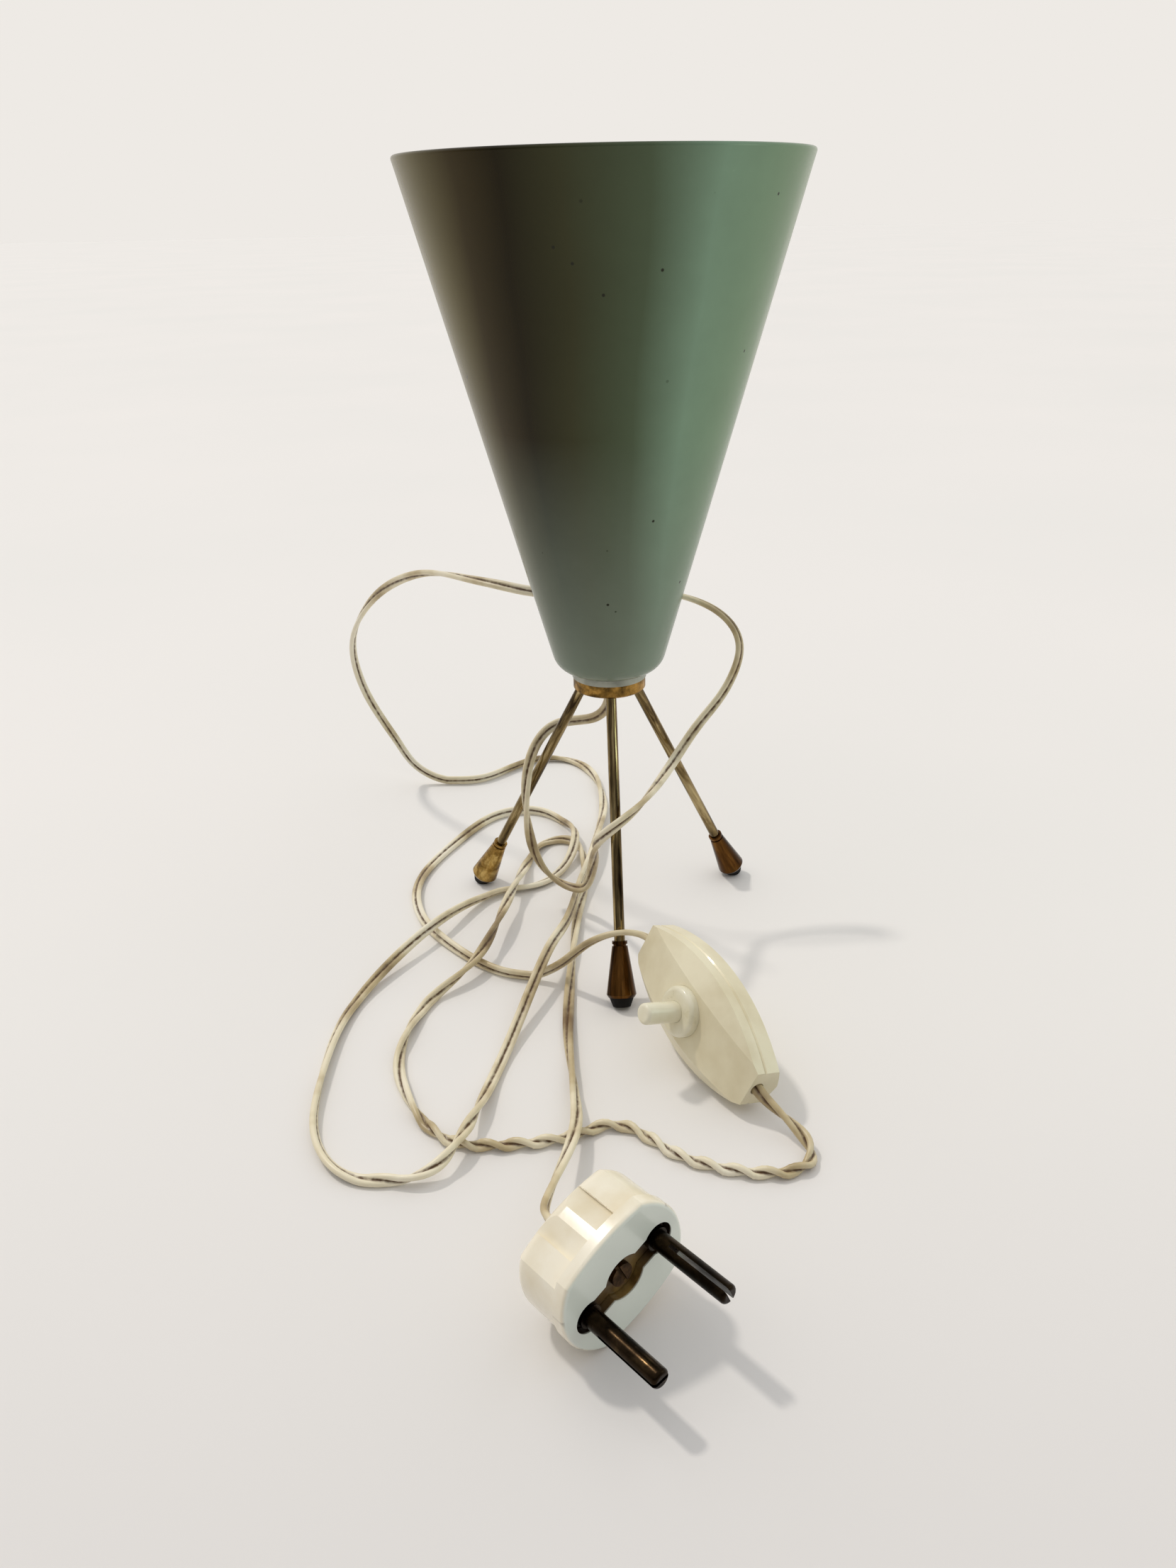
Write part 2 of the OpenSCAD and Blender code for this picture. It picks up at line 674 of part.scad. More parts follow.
module switch_front() {
    color([0.92, 0.88, 0.75]) at_switch() difference() {
        intersection() {
            lens(switch_l / 2) front_section(0);
            under_arch(0);
        }
        difference() {
            intersection() {
                lens(switch_l / 2 - 3) front_section(switch_wall);
                under_arch(switch_wall);
            }
            screw_places() translate([0, 0, -1]) cylinder(d = screw_boss_d, h = far);
        }
        flex_hole(switch_l + 2);
        screw_places() translate([0, 0, -eps]) cylinder(d = switch_screw_d + 2 * fit, h = screw_top + 0.4 + eps);
        cylinder(d = neck_d + 2 * fit, h = front_h + eps);
        translate([0, 0, collar_seat]) cylinder(d = collar_d + 2 * fit, h = far);
    }
}

module switch_back() {
    color([0.91, 0.87, 0.73]) at_switch() difference() {
        union() {
            difference() {
                lens(switch_l / 2) back_section(0);
                lens(switch_l / 2 - 3) back_section(switch_wall);
            }
            intersection() {
                lens(switch_l / 2) back_section(0);
                union() {
                    screw_places() translate([0, 0, -back_h]) cylinder(d = screw_boss_d, h = back_h - fit);
                    for (side = [-1, 1]) translate([side * terminal_at, 0, -back_h])
                        cylinder(d = 4, h = back_h + terminal_z);
                    translate([0, 0, -back_h]) difference() {
                        cylinder(d = neck_d, h = back_h + shoulder_low - button_travel - fit);
                        cylinder(d = stop_bore, h = far);
                    }
                }
            }
        }
        flex_hole(switch_l + 2);
        screw_places() {
            translate([0, 0, -far]) cylinder(d = switch_screw_d + 2 * loose, h = 2 * far);
            translate([0, 0, head_seat - far]) cylinder(d = screw_head_d + 2 * loose, h = far);
        }
    }
}

module switch_screws() {
    color([0.60, 0.52, 0.34]) at_switch() screw_places() {
        translate([0, 0, head_seat - screw_head_h]) difference() {
            cylinder(d = screw_head_d, h = screw_head_h);
            translate([-0.4, -far / 2, -eps]) cube([0.8, far, 0.7 + eps]);
        }
        translate([0, 0, head_seat - eps]) cylinder(d = switch_screw_d, h = screw_top - head_seat + eps);
    }
}

// Ring round the button, with a neck through the front shell
module button_collar() {
    round_r = 1.2;
    color([0.93, 0.89, 0.77]) at_switch() difference() {
        union() {
            translate([0, 0, neck_low]) cylinder(d = neck_d, h = front_h - neck_low);
            translate([0, 0, collar_seat])
                rounded_disc(collar_d / 2, front_h + collar_h - collar_seat, round_r);
        }
        translate([0, 0, neck_low - eps])
            cylinder(d = button_d + 2 * fit, h = front_h + collar_h - neck_low + 2 * eps);
    }
}

// Push-button with a shoulder that stops it under the collar's neck, and at the end of
// its travel on a ring that stands in the back shell round the spring
shoulder_h = 1.6;
shoulder_low = neck_low - fit - shoulder_h;
stop_bore = 6.4;
module push_button() {
    dome_r = 1;
    color([0.93, 0.89, 0.76]) at_switch() {
        translate([0, 0, shoulder_low]) cylinder(d = neck_d - 1, h = shoulder_h);
        translate([0, 0, shoulder_low])
            rounded_disc(button_d / 2, front_h + collar_h + button_out - shoulder_low, dome_r);
    }
}

// Spring of round wire between the back shell's floor and the button's shoulder
spring_d = 5;
spring_wire = 0.4;
spring_turns = 4;
spring_steps = 16;
spring_floor = -back_h + switch_wall + spring_wire / 2 + fit;
spring_height = shoulder_low - fit - spring_wire / 2 - spring_floor;
spring_route = [for (i = [0:spring_turns * spring_steps])
    let (a = i * 360 / spring_steps, share = i / (spring_turns * spring_steps))
    [spring_d / 2 * cos(a), spring_d / 2 * sin(a), spring_floor + spring_height * share]];
module button_spring() {
    color([0.70, 0.70, 0.72]) at_switch() swept_tube(spring_route, spring_wire / 2, 6, [1, 0, 0]);
}

module switch_contacts() {
    color([0.78, 0.68, 0.42]) at_switch() for (side = [-1, 1])
        translate([side * terminal_at, 0, terminal_z]) difference() {
            translate([-terminal_size[0] / 2, -terminal_size[1] / 2, fit]) cube(terminal_size);
            translate([0, 0, 0.5]) cylinder(d = 2 + 2 * fit, h = terminal_size[2] + eps);
            translate([0, 0, terminal_size[2] / 2 - 0.8]) rotate([0, 90, 0])
                cylinder(d = 1.4, h = terminal_size[0] + eps, center = true);
        }
}

module contact_screws() {
    color([0.70, 0.62, 0.40]) at_switch() for (side = [-1, 1])
        translate([side * terminal_at, 0, terminal_z + 2.2]) {
            cylinder(d = 2, h = 2.2);
            translate([0, 0, terminal_size[2] - 2.2 + fit]) cylinder(d = 3, h = 0.8);
        }
}

// The plug lies on the edge of its face. Its z runs along the pins and its x from pin
// to pin, and its face is at its z = 0.
plug_bearing = -51;
plug_lift = 2;
plug_roll = 22.4;
side_arc = 40;
side_off = side_arc - face_half;
face_corner_y = (side_arc * side_arc - side_off * side_off - face_r * face_r) / (2 * side_off);
face_corner_x = sqrt(face_r * face_r - face_corner_y * face_corner_y);
plug_at = [-6, -153.8, (face_corner_x * sin(plug_roll) + face_corner_y * cos(plug_roll)) * cos(plug_lift) + face_t * sin(plug_lift)];
module at_plug() {
    translate(plug_at)
        rotate([0, 0, plug_bearing])
            rotate([0, 90 - plug_lift, 0])
                rotate([0, 0, 90 + plug_roll])
                    children();
}

// Solid common to a turned disc and to two wide ones that flatten it across the pins.
// It stands in from the flange by end_in and broad_in, with edges of radius e at the top.
module oval(end_in, broad_in, h, e) {
    intersection() {
        rounded_disc(face_r - end_in, h, e);
        translate([0, side_off, 0]) rounded_disc(side_arc - broad_in, h, e);
        translate([0, -side_off, 0]) rounded_disc(side_arc - broad_in, h, e);
    }
}

// Outline of the opening in the face: round at the pins and at the middle screw
module bone(grow) {
    for (side = [-1, 1]) translate([side * pin_pitch / 2, 0]) circle(3.6 + grow);
    circle(5 + grow);
    square([pin_pitch, 5.8 + 2 * grow], center = true);
}

module plug_face() {
    color([0.93, 0.90, 0.80]) at_plug() translate([0, 0, -face_t]) difference() {
        oval(0, 0, face_t, 0.9);
        translate([0, 0, -eps]) linear_extrude(face_t + 2 * eps) bone(0);
    }
}

// Body behind the face. Each broad side has a ridge with sloping flanks along its
// middle, and a steep step up from it to the lobe on each side.
plug_wall = 2;
body_len = plug_depth - face_t;
groove_x = 5.9;
groove_low = 10;
ridge_top = 12;
cavity_half = 6.8;
cavity_end = 2.5;
module plug_body() {
    color([0.92, 0.89, 0.78]) at_plug() difference() {
        translate([0, 0, -face_t]) mirror([0, 0, 1]) oval(lobe_in, side_in, body_len, 3);
        for (top = [-1, 1])
            translate([0, 0, -plug_depth - eps]) linear_extrude(body_len + 2 * eps)
                polygon([
                    [-groove_x - 0.5, top * (face_half + 2)],
                    [-groove_x, top * groove_low],
                    [0, top * ridge_top],
                    [groove_x, top * groove_low],
                    [groove_x + 0.5, top * (face_half + 2)]
                ]);
        translate([0, 0, -plug_depth + cavity_end]) linear_extrude(body_len)
            intersection() {
                circle(face_r - lobe_in - plug_wall);
                square([far, 2 * cavity_half], center = true);
            }
        translate([0, 0, -plug_depth - eps]) cylinder(d = flex_hole_d, h = plug_depth);
        translate([0, 0, -plug_depth + 0.8]) cylinder(d = grip_d + 2 * fit, h = grip_h);
    }
}

// Brown block that carries the pins, seen through the opening in the face
insulator_top = 2;
insulator_low = 9;
module plug_insulator() {
    color([0.22, 0.13, 0.08]) at_plug() difference() {
        union() {
            translate([0, 0, -insulator_low]) linear_extrude(insulator_low - face_t - fit)
                intersection() {
                    circle(face_r - lobe_in - plug_wall - loose);
                    square([far, 2 * (cavity_half - loose)], center = true);
                }
            translate([0, 0, -face_t - 0.5]) linear_extrude(face_t + 0.5 - insulator_top) bone(-loose);
        }
        for (side = [-1, 1]) translate([side * pin_pitch / 2, 0, -insulator_low - eps])
            cylinder(d = shank_d + 2 * fit, h = insulator_low);
        translate([0, 0, -insulator_low - eps]) cylinder(d = 3 + 2 * fit, h = insulator_low);
    }
}

pin_low = 12.4;
pin_screw_z = -11;
pin_screw_d = 1.6;
lower_slit_turn = 75;
module plug_pin(side) {
    color([0.24, 0.18, 0.13]) at_plug() translate([side * pin_pitch / 2, 0, 0]) difference() {
        union() {
            translate([0, 0, -pin_low]) cylinder(d = shank_d, h = pin_low);
            rounded_disc(pin_d / 2, pin_l, 0.8);
        }
        rotate([0, 0, side > 0 ? 0 : lower_slit_turn]) translate([-slit_w / 2, -pin_d, pin_l - slit_l])
            cube([slit_w, 2 * pin_d, slit_l + eps]);
        translate([0, 0, pin_screw_z]) rotate([90, 0, 0])
            cylinder(d = pin_screw_d + 2 * fit, h = shank_d + 1, center = true);
    }
}

module pin_screws() {
    color([0.66, 0.56, 0.34]) at_plug() for (side = [-1, 1])
        translate([side * pin_pitch / 2, 0, pin_screw_z]) rotate([90, 0, 0]) {
            cylinder(d = pin_screw_d, h = shank_d / 2 + 0.6);
            translate([0, 0, shank_d / 2 + fit]) cylinder(d = 2.8, h = 1);
        }
}

// Screw in the middle of the face that holds the block to the grip behind it
module plug_screw() {
    color([0.40, 0.30, 0.18]) at_plug() {
        translate([0, 0, -insulator_low + 0.4]) cylinder(d = 3, h = insulator_low - insulator_top);
        translate([0, 0, -insulator_top + fit]) difference() {
            cylinder(d = 5, h = 1.2);
            translate([-0.4, -far / 2, 0.6]) cube([0.8, far, 1]);
        }
    }
}

// Split bush that grips the flex where it enters the plug
grip_d = 8;
grip_h = 5.4;
module flex_grip() {
    color([0.25, 0.15, 0.10]) at_plug() translate([0, 0, -plug_depth + 0.8]) difference() {
        cylinder(d = grip_d, h = grip_h - fit);
        translate([0, 0, -eps]) cylinder(d = flex_hole_d, h = grip_h + 2 * eps);
        translate([-0.5, 0, -eps]) cube([1, far, grip_h + 2 * eps]);
    }
}

shade();
shade_washer();
base_disc();
leg(front_bearing);  // leg_front
leg(left_bearing);  // leg_left
leg(right_bearing);  // leg_right
foot(front_bearing);  // foot_front
foot(left_bearing);  // foot_left
foot(right_bearing);  // foot_right
foot_tip(front_bearing);  // foot_tip_front
foot_tip(left_bearing);  // foot_tip_left
foot_tip(right_bearing);  // foot_tip_right
nipple();
cord_bush();
shade_nut();
holder_cap();
holder_insert();
holder_sleeve();
screw_shell();
centre_contact();
holder_screws();
holder_leads();
bulb_cap();
bulb_tip();
bulb_glass();
bulb_stem();
lamp_flex();
plug_flex();
switch_front();
switch_back();
button_collar();
push_button();
button_spring();
switch_contacts();
contact_screws();
switch_screws();
plug_body();
plug_face();
plug_insulator();
plug_pin(1);  // plug_pin_upper
plug_pin(-1);  // plug_pin_lower
pin_screws();
plug_screw();
flex_grip();
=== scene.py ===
import json
import math

import bpy
import numpy as np
from bpy.props import FloatProperty, FloatVectorProperty, IntProperty, PointerProperty
from mathutils import Matrix, Vector


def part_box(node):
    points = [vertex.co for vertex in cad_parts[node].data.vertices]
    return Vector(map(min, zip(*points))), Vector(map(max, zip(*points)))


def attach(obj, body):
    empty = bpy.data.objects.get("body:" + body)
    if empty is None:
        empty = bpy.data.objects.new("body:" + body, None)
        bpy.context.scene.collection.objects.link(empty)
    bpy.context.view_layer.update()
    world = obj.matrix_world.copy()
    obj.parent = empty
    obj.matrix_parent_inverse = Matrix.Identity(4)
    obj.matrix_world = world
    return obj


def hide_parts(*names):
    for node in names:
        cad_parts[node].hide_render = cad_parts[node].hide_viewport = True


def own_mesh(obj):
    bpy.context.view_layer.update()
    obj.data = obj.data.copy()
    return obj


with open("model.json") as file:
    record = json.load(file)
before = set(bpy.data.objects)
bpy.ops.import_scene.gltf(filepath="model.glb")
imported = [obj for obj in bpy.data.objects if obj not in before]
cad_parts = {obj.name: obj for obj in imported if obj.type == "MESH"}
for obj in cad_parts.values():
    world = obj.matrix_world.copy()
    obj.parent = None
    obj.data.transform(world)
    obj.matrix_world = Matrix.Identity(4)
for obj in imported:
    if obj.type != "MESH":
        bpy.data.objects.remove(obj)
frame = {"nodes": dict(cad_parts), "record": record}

bl_info = {
    "name": "Tripod Table Lamp",
    "version": (1, 0, 0),
    "blender": (4, 5, 0),
    "location": "3D View > Sidebar > Table Lamp",
    "description": "Dresses the solids of a small tripod table lamp with their finishes",
    "category": "Object",
}

MM = 0.001

# Camera: where it stood over the table, in millimetres, and how it was turned
CAMERA_AT = (-15.88, -318.71, 199.11)
CAMERA_RIGHT = (0.99911, -0.03786, -0.01883)
CAMERA_UP = (0.03338, 0.43310, 0.90073)
PHOTO_WIDTH = 1659
FOCAL_PIXELS = 1689
SENSOR_MM = 36.0

# Plug, in millimetres: from its face to the middle of its pins; then how far the brown of the
# opening's walls reaches across, along and inwards, where it is full and where it has ended
PIN_MIDDLE = 9.0
OPENING_ACROSS, OPENING_ALONG, OPENING_DEEP = (5.3, 5.6), (14.2, 14.8), (3.2, 3.6)

# How far a leg runs in for each unit that it rises
LEG_RUN = 0.556

# Spun cone, in millimetres: the bead of its rim, the foot and its corner, the wall and the hole
RIM_BEAD, FOOT_RADIUS, FOOT_CORNER, SHADE_WALL, SHADE_HOLE = 0.75, 14.5, 6.0, 1.0, 4.2
# Rings of its mesh: at each corner, up each wall and round the rim, the outer ones of it green
CORNER_ROWS, WALL_ROWS, RIM_ROWS, GREEN_RIM_ROWS = 10, 39, 15, 8

# Flex: points of the spline between two points of a route, and rings that smooth a change of turn
SPLINE_STEPS, TURN_RINGS = 24, 25
# How far a core's skin goes round, in degrees from its outermost point, with how many points,
# and where the groove between the cores begins and is deepest
CORE_SWEEP, CORE_POINTS, GROOVE_FROM, GROOVE_FULL = 152, 13, 95, 145
# Lowest point of the flex over the table, in millimetres
LEAST_HEIGHT = 0.02

# Paper: how far it reaches from the lamp and how low it lies, in metres
PAPER_REACH, PAPER_Z = 12.0, -0.2 * MM

# Lights: where they shine from, in metres, how wide the fill light is, in metres, and the angle
# that the key light takes up in the sky, in radians
KEY_FROM, FILL_FROM, FILL_WIDTH, KEY_ANGLE = (-0.61, 0.46, 1.16), (0.8, -0.2, 0.35), 0.35, 0.08

# Sockets by name or number: the limits of a Map Range, and the share, colours and result of a Mix
FROM_MIN, FROM_MAX, TO_MIN, TO_MAX = "From Min", "From Max", "To Min", "To Max"
SHARE, FIRST, SECOND = 0, 6, 7
COLOUR_MIX = {"data_type": "RGBA", "out": 2}

# Routes of the flex in millimetres, the same points as in the solids
LAMP_ROUTE = [
    (0, 0, 80.3), (0, 0, 71), (-3.5, 4.5, 65), (-9.5, 12, 61), (-16.5, 15.5, 58.5), (-22.5, 11, 53),
    (-25.5, 6, 40), (-22.5, 9, 15), (-17, 6.8, 9.5), (-9, 1, 9.6), (-6, -10, 24), (-5.5, -24, 38.5),
    (-3, -29.5, 44.5), (2, -29.5, 48.5), (8, -21, 49.5), (18.5, 3, 50), (26, 10, 58), (36, 15, 69),
    (40, 17, 82), (35, 19, 90), (23, 21.5, 95.5), (0, 22, 98), (-18, 24, 97), (-36, 34, 98),
    (-57, 56, 95), (-76, 77, 81), (-87, 91, 61), (-86, 99, 40), (-77, 102, 19), (-70, 101, 8),
    (-60, 99, 2.6), (-45, 99, 1.7), (-33, 109, 1.7), (-22, 117, 1.7), (-10, 115, 1.7),
    (-2, 101, 1.7), (1, 76, 1.7), (-4.5, 35.3, 6), (-9.6, 13.3, 5.3), (-14, -9.1, 5.5),
    (-20, -30.5, 8.8), (-33, -72, 1.7), (-41, -102, 5.4), (-46.6, -111, 4.2), (-56.3, -111.8, 1.9),
    (-68, -109, 1.7), (-76, -97, 1.7), (-78, -73, 1.7), (-74, -43, 1.7), (-54, -9, 5.6),
    (-37, 14, 1.7), (-23, 18, 1.7), (-14, 29, 2.4), (-10, 45.5, 5.6), (-14, 61, 2.4),
    (-24, 71, 1.7), (-37, 69, 1.7), (-51, 50, 1.7), (-62, 23, 1.7), (-59, 0, 1.7), (-45, -21, 1.7),
    (-33, -31.5, 1.7), (-25.5, -33.5, 1.8), (-19, -35, 5.3), (-13.5, -39.2, 12), (-8.3, -42, 17.8),
    (-2.9, -43.6, 21.2), (1.2, -43.3, 21.6), (5.4, -44, 21.4), (8.4, -45.9, 20.8),
    (9.9, -49.3, 19.9),
]
PLUG_ROUTE = [
    (28.4, -91, 8.8), (29.5, -93.7, 8.1), (30.8, -96.1, 7.2), (34.8, -99.7, 5.5),
    (39.2, -104.6, 3.5), (40.9, -108.9, 2.2), (38.1, -113.2, 1.7), (32.6, -114.4, 1.7),
    (24.3, -113.7, 1.7), (15.6, -110.9, 1.7), (7.9, -106.4, 1.7), (2, -99.9, 1.7),
    (-5.2, -95.5, 1.7), (-14.8, -99.7, 1.7), (-24.1, -101.3, 1.7), (-37.9, -101.5, 1.7),
    (-44, -99.9, 1.7), (-51.7, -91.1, 1.7), (-58.6, -73.8, 1.7), (-59, -64.3, 1.7),
    (-53.7, -43.8, 1.7), (-41.1, -29.2, 5.4), (-30.6, 9.8, 6.1), (-25.5, 35.9, 1.9),
    (-20.4, 47.6, 1.7), (-13, 48.6, 1.7), (-8.9, 42.7, 1.7), (-7.2, 19.6, 1.7), (-10.2, 3.9, 1.7),
    (-11.8, -10.7, 1.7), (-15.1, -58.6, 1.7), (-14.1, -84.6, 3.4), (-13.9, -99, 5.4),
    (-16.3, -110.4, 7), (-19, -120.3, 9), (-21.3, -130.4, 11.2), (-21.4, -136.3, 13.2),
    (-16.4, -141, 14.2), (-13.2, -144.9, 14.4),
]

# Turns of the two cores: (distance along the flex in millimetres, full turns so far)
LAMP_TURNS = [(0, 0), (55, 0.3), (80, 0.8), (150, 1.9), (235, 2.3), (330, 3.0), (400, 3.4),
              (520, 3.8), (590, 4.6), (690, 4.9), (745, 5.0), (790, 6.6), (850, 6.9),
              (1010, 7.8), (1230, 8.6)]
PLUG_TURNS = [(0, 0), (18, 0.5), (125, 8.1), (330, 12.0), (500, 13.6)]


def linear(hex_code):
    """The linear red, green and blue of an sRGB colour such as '#a0b0a8'."""
    parts = [int(hex_code[i:i + 2], 16) / 255 for i in (1, 3, 5)]
    return tuple(c / 12.92 if c <= 0.04045 else ((c + 0.055) / 1.055) ** 2.4 for c in parts)


def rgba(colour):
    """A colour with full alpha, from an sRGB hex code or three linear values."""
    return (*(linear(colour) if isinstance(colour, str) else tuple(colour)), 1.0)


def pattern(size_mm):
    """The texture scale that gives features of about this many millimetres."""
    return 1 / (size_mm * MM)


# Materials

def add(tree, kind, inputs=None, stops=None, out=0, **settings):
    """Adds a shader node with its settings, its values or links by socket, and its colour stops.

    Gives the output of that name or number, or all the outputs if out is None."""
    made = tree.nodes.new("ShaderNode" + kind)
    for key, value in settings.items():
        setattr(made, key, value)
    if stops:
        elements = made.color_ramp.elements
        while len(elements) < len(stops):
            elements.new(0.5)
        for element, (place, colour) in zip(elements, stops):
            element.position = place
            element.color = rgba(colour)
    for key, value in (inputs or {}).items():
        if isinstance(value, bpy.types.NodeSocket):
            tree.links.new(value, made.inputs[key])
        else:
            made.inputs[key].default_value = value
    return made.outputs if out is None else made.outputs[out]


def surface(name, **values):
    """A new material with one Principled shader: its tree, the shader and the place in metres."""
    made = bpy.data.materials.new(name)
    made.use_nodes = True
    tree = made.node_tree
    shader = tree.nodes["Principled BSDF"]
    for key, value in values.items():
        shader.inputs[key.replace("_", " ")].default_value = value
    return made, tree, shader, add(tree, "TexCoord", out="Object")


def join(tree, shader, **links):
    """Links sockets to the shader's inputs of the same name."""
    for key, socket in links.items():
        tree.links.new(socket, shader.inputs[key.replace("_", " ")])


def stove_enamel(looks):
    """Stove enamel, sprayed on spun metal: hard, glossy, with a fine orange peel and painted
    reflections.
    """
    made, tree, shader, place = surface(
        "grey_green_stove_enamel_sprayed", IOR=1.5, Coat_Weight=0.1, Coat_Roughness=0.06,
        Specular_IOR_Level=0.18, Specular_Tint=rgba("#fff0c8"))
    axes = add(tree, "SeparateXYZ", {"Vector": place}, out=None)
    # Painted reflection and highlight, from left to right: a pale edge, a dark brown band where the
    # dark room is reflected, the plain grey-green, and a greener, paler right side.
    # X over Z runs from side to side, with a slow drift so that the bands aren't ruled
    side = add(tree, "Math", {0: axes["X"], 1: axes["Z"]}, operation="DIVIDE")
    cloud = add(tree, "TexNoise", {"Vector": place, "Scale": pattern(70), "Detail": 2.0})
    drift = add(tree, "Math", {0: cloud, 1: 0.06, 2: side}, operation="MULTIPLY_ADD")
    across = add(tree, "MapRange", {"Value": drift, FROM_MIN: -0.26, FROM_MAX: 0.30})
    tint = add(tree, "ValToRGB", {"Fac": across}, stops=[
        (0.0, "#918b62"), (0.12, "#6d6438"), (0.22, "#33280a"), (0.3, "#161102"), (0.41, "#393b26"),
        (0.57, looks.enamel), (0.71, "#7d9a83"), (0.9, "#728d6c"), (1.0, "#aab197")])
    # Painted reflection of the pale floor: a lighter grey-green low on the cone, fading into the
    # bands above
    height = add(tree, "MapRange", {"Value": axes["Z"], FROM_MIN: 0.076, FROM_MAX: 0.150})
    tone = add(tree, "Mix", {SHARE: height, FIRST: rgba("#7b887b"), SECOND: tint}, **COLOUR_MIX)
    # Specks where dust was sprayed over
    dust = add(tree, "TexVoronoi", {"Vector": place, "Scale": pattern(4.2), "Randomness": 1.0},
               out=None)
    near = add(tree, "MapRange", {"Value": dust["Distance"], FROM_MIN: 0.06, FROM_MAX: 0.11,
                                  TO_MIN: 1.0, TO_MAX: 0.0})
    few = add(tree, "MapRange", {"Value": dust["Color"], FROM_MIN: 0.74, FROM_MAX: 0.76})
    speck = add(tree, "Math", {0: near, 1: few}, operation="MULTIPLY")
    specked = add(tree, "Mix", {SHARE: speck, FIRST: tone, SECOND: rgba("#22251f")}, **COLOUR_MIX)
    # A thin film of grime that changes the colour and the gloss together
    film = add(tree, "TexNoise", {"Vector": place, "Scale": pattern(9), "Detail": 5.0,
                                  "Roughness": 0.6})
    filmed = add(tree, "MapRange", {"Value": film, FROM_MIN: 0.3, FROM_MAX: 0.75,
                                    TO_MIN: 0.96, TO_MAX: 1.03})
    colour = add(tree, "Mix", {SHARE: 1.0, FIRST: specked, SECOND: filmed},
                 blend_type="MULTIPLY", **COLOUR_MIX)
    gloss = add(tree, "MapRange", {"Value": film, FROM_MIN: 0.3, FROM_MAX: 0.8,
                                   TO_MIN: 0.22, TO_MAX: 0.28})
    peel = add(tree, "TexNoise", {"Vector": place, "Scale": pattern(1.3), "Detail": 2.0})
    bump = add(tree, "Bump", {"Height": peel, "Distance": 0.02 * MM, "Strength": 0.2})
    join(tree, shader, Base_Color=colour, Roughness=gloss, Normal=bump)
    return made


def white_enamel():
    """White stove enamel inside the cone, yellowed by the bulb's heat."""
    made, tree, shader, place = surface("white_stove_enamel_sprayed", IOR=1.5, Roughness=0.32)
    cloud = add(tree, "TexNoise", {"Vector": place, "Scale": pattern(22), "Detail": 5.0})
    tint = add(tree, "ValToRGB", {"Fac": cloud}, stops=[(0.3, "#dcd6c2"), (0.7, "#ece8da")])
    peel = add(tree, "TexNoise", {"Vector": place, "Scale": pattern(1.3)})
    bump = add(tree, "Bump", {"Height": peel, "Distance": 0.03 * MM, "Strength": 0.3})
    join(tree, shader, Base_Color=tint, Normal=bump)
    return made


def along_legs(tree, place):
    """A place that hardly changes along a leg, so that patterns are drawn out lengthwise."""
    axes = add(tree, "SeparateXYZ", {"Vector": place}, out=None)
    flat = add(tree, "VectorMath", {0: place, 1: (1, 1, 0)}, operation="MULTIPLY")
    reach = add(tree, "VectorMath", {0: flat}, operation="LENGTH", out="Value")
    line = add(tree, "Math", {0: axes["Z"], 1: LEG_RUN, 2: reach}, operation="MULTIPLY_ADD")
    # A radian round the lamp counts as 45 mm, and a rise counts for a sixth of itself
    bearing = add(tree, "Math", {0: axes["X"], 1: axes["Y"]}, operation="ARCTAN2")
    around = add(tree, "Math", {0: bearing, 1: 0.045}, operation="MULTIPLY")
    up = add(tree, "Math", {0: axes["Z"], 1: 0.16}, operation="MULTIPLY")
    return add(tree, "CombineXYZ", {"X": line, "Y": around, "Z": up})


def aged_metal(name, clean, dull, dark, rough, spot_mm, share, drawn=False, dulled=0.26):
    """Metal whose lacquer or polish has gone: bright where touched, dark in patches or streaks."""
    made, tree, shader, place = surface(name, Metallic=1.0)
    if drawn:
        place = along_legs(tree, place)
    patch = add(tree, "TexNoise", {"Vector": place, "Scale": pattern(spot_mm), "Detail": 7.0,
                                   "Roughness": 0.62, "Distortion": 0.4})
    tone = add(tree, "ValToRGB", {"Fac": patch}, stops=[
        (share - 0.16, clean), (share, dull), (share + 0.16, dark)])
    fine = add(tree, "TexNoise", {"Vector": place, "Scale": pattern(0.9), "Detail": 3.0})
    grime = add(tree, "MapRange", {"Value": fine, FROM_MIN: 0.35, FROM_MAX: 0.7,
                                   TO_MIN: 1.08, TO_MAX: 0.78})
    colour = add(tree, "Mix", {SHARE: 1.0, FIRST: tone, SECOND: grime},
                 blend_type="MULTIPLY", **COLOUR_MIX)
    gloss = add(tree, "MapRange", {"Value": patch, FROM_MIN: 0.3, FROM_MAX: 0.7,
                                   TO_MIN: rough, TO_MAX: rough + dulled})
    bump = add(tree, "Bump", {"Height": fine, "Distance": 0.04 * MM, "Strength": 0.35})
    join(tree, shader, Base_Color=colour, Roughness=gloss, Normal=bump)
    return made


def plug_axes(tree, place):
    """Distances in metres from the middle of the plug's face: outwards, pin to pin and across."""
    mounts = {mount["name"]: mount for mount in frame["record"]["mounts"]}
    upper, lower = (Vector(mounts[name]["pos_m"]) for name in ("upper_pin", "lower_pin"))
    out = Vector(mounts["upper_pin"]["axis"]).normalized()
    along = (upper - lower).normalized()
    middle = (upper + lower) / 2 - out * PIN_MIDDLE * MM
    moved = add(tree, "VectorMath", {0: place, 1: middle}, operation="SUBTRACT")
    return [add(tree, "VectorMath", {0: moved, 1: way}, operation="DOT_PRODUCT", out="Value")
            for way in (out, along, out.cross(along))]


def fade(tree, value, start_mm, end_mm, both_ways=True):
    """A mask that falls from 1 at the start distance to 0 at the end, on both sides or one."""
    if both_ways:
        value = add(tree, "Math", {0: value}, operation="ABSOLUTE")
    return add(tree, "MapRange", {"Value": value, FROM_MIN: start_mm * MM, FROM_MAX: end_mm * MM,
                                  TO_MIN: 1.0, TO_MAX: 0.0})


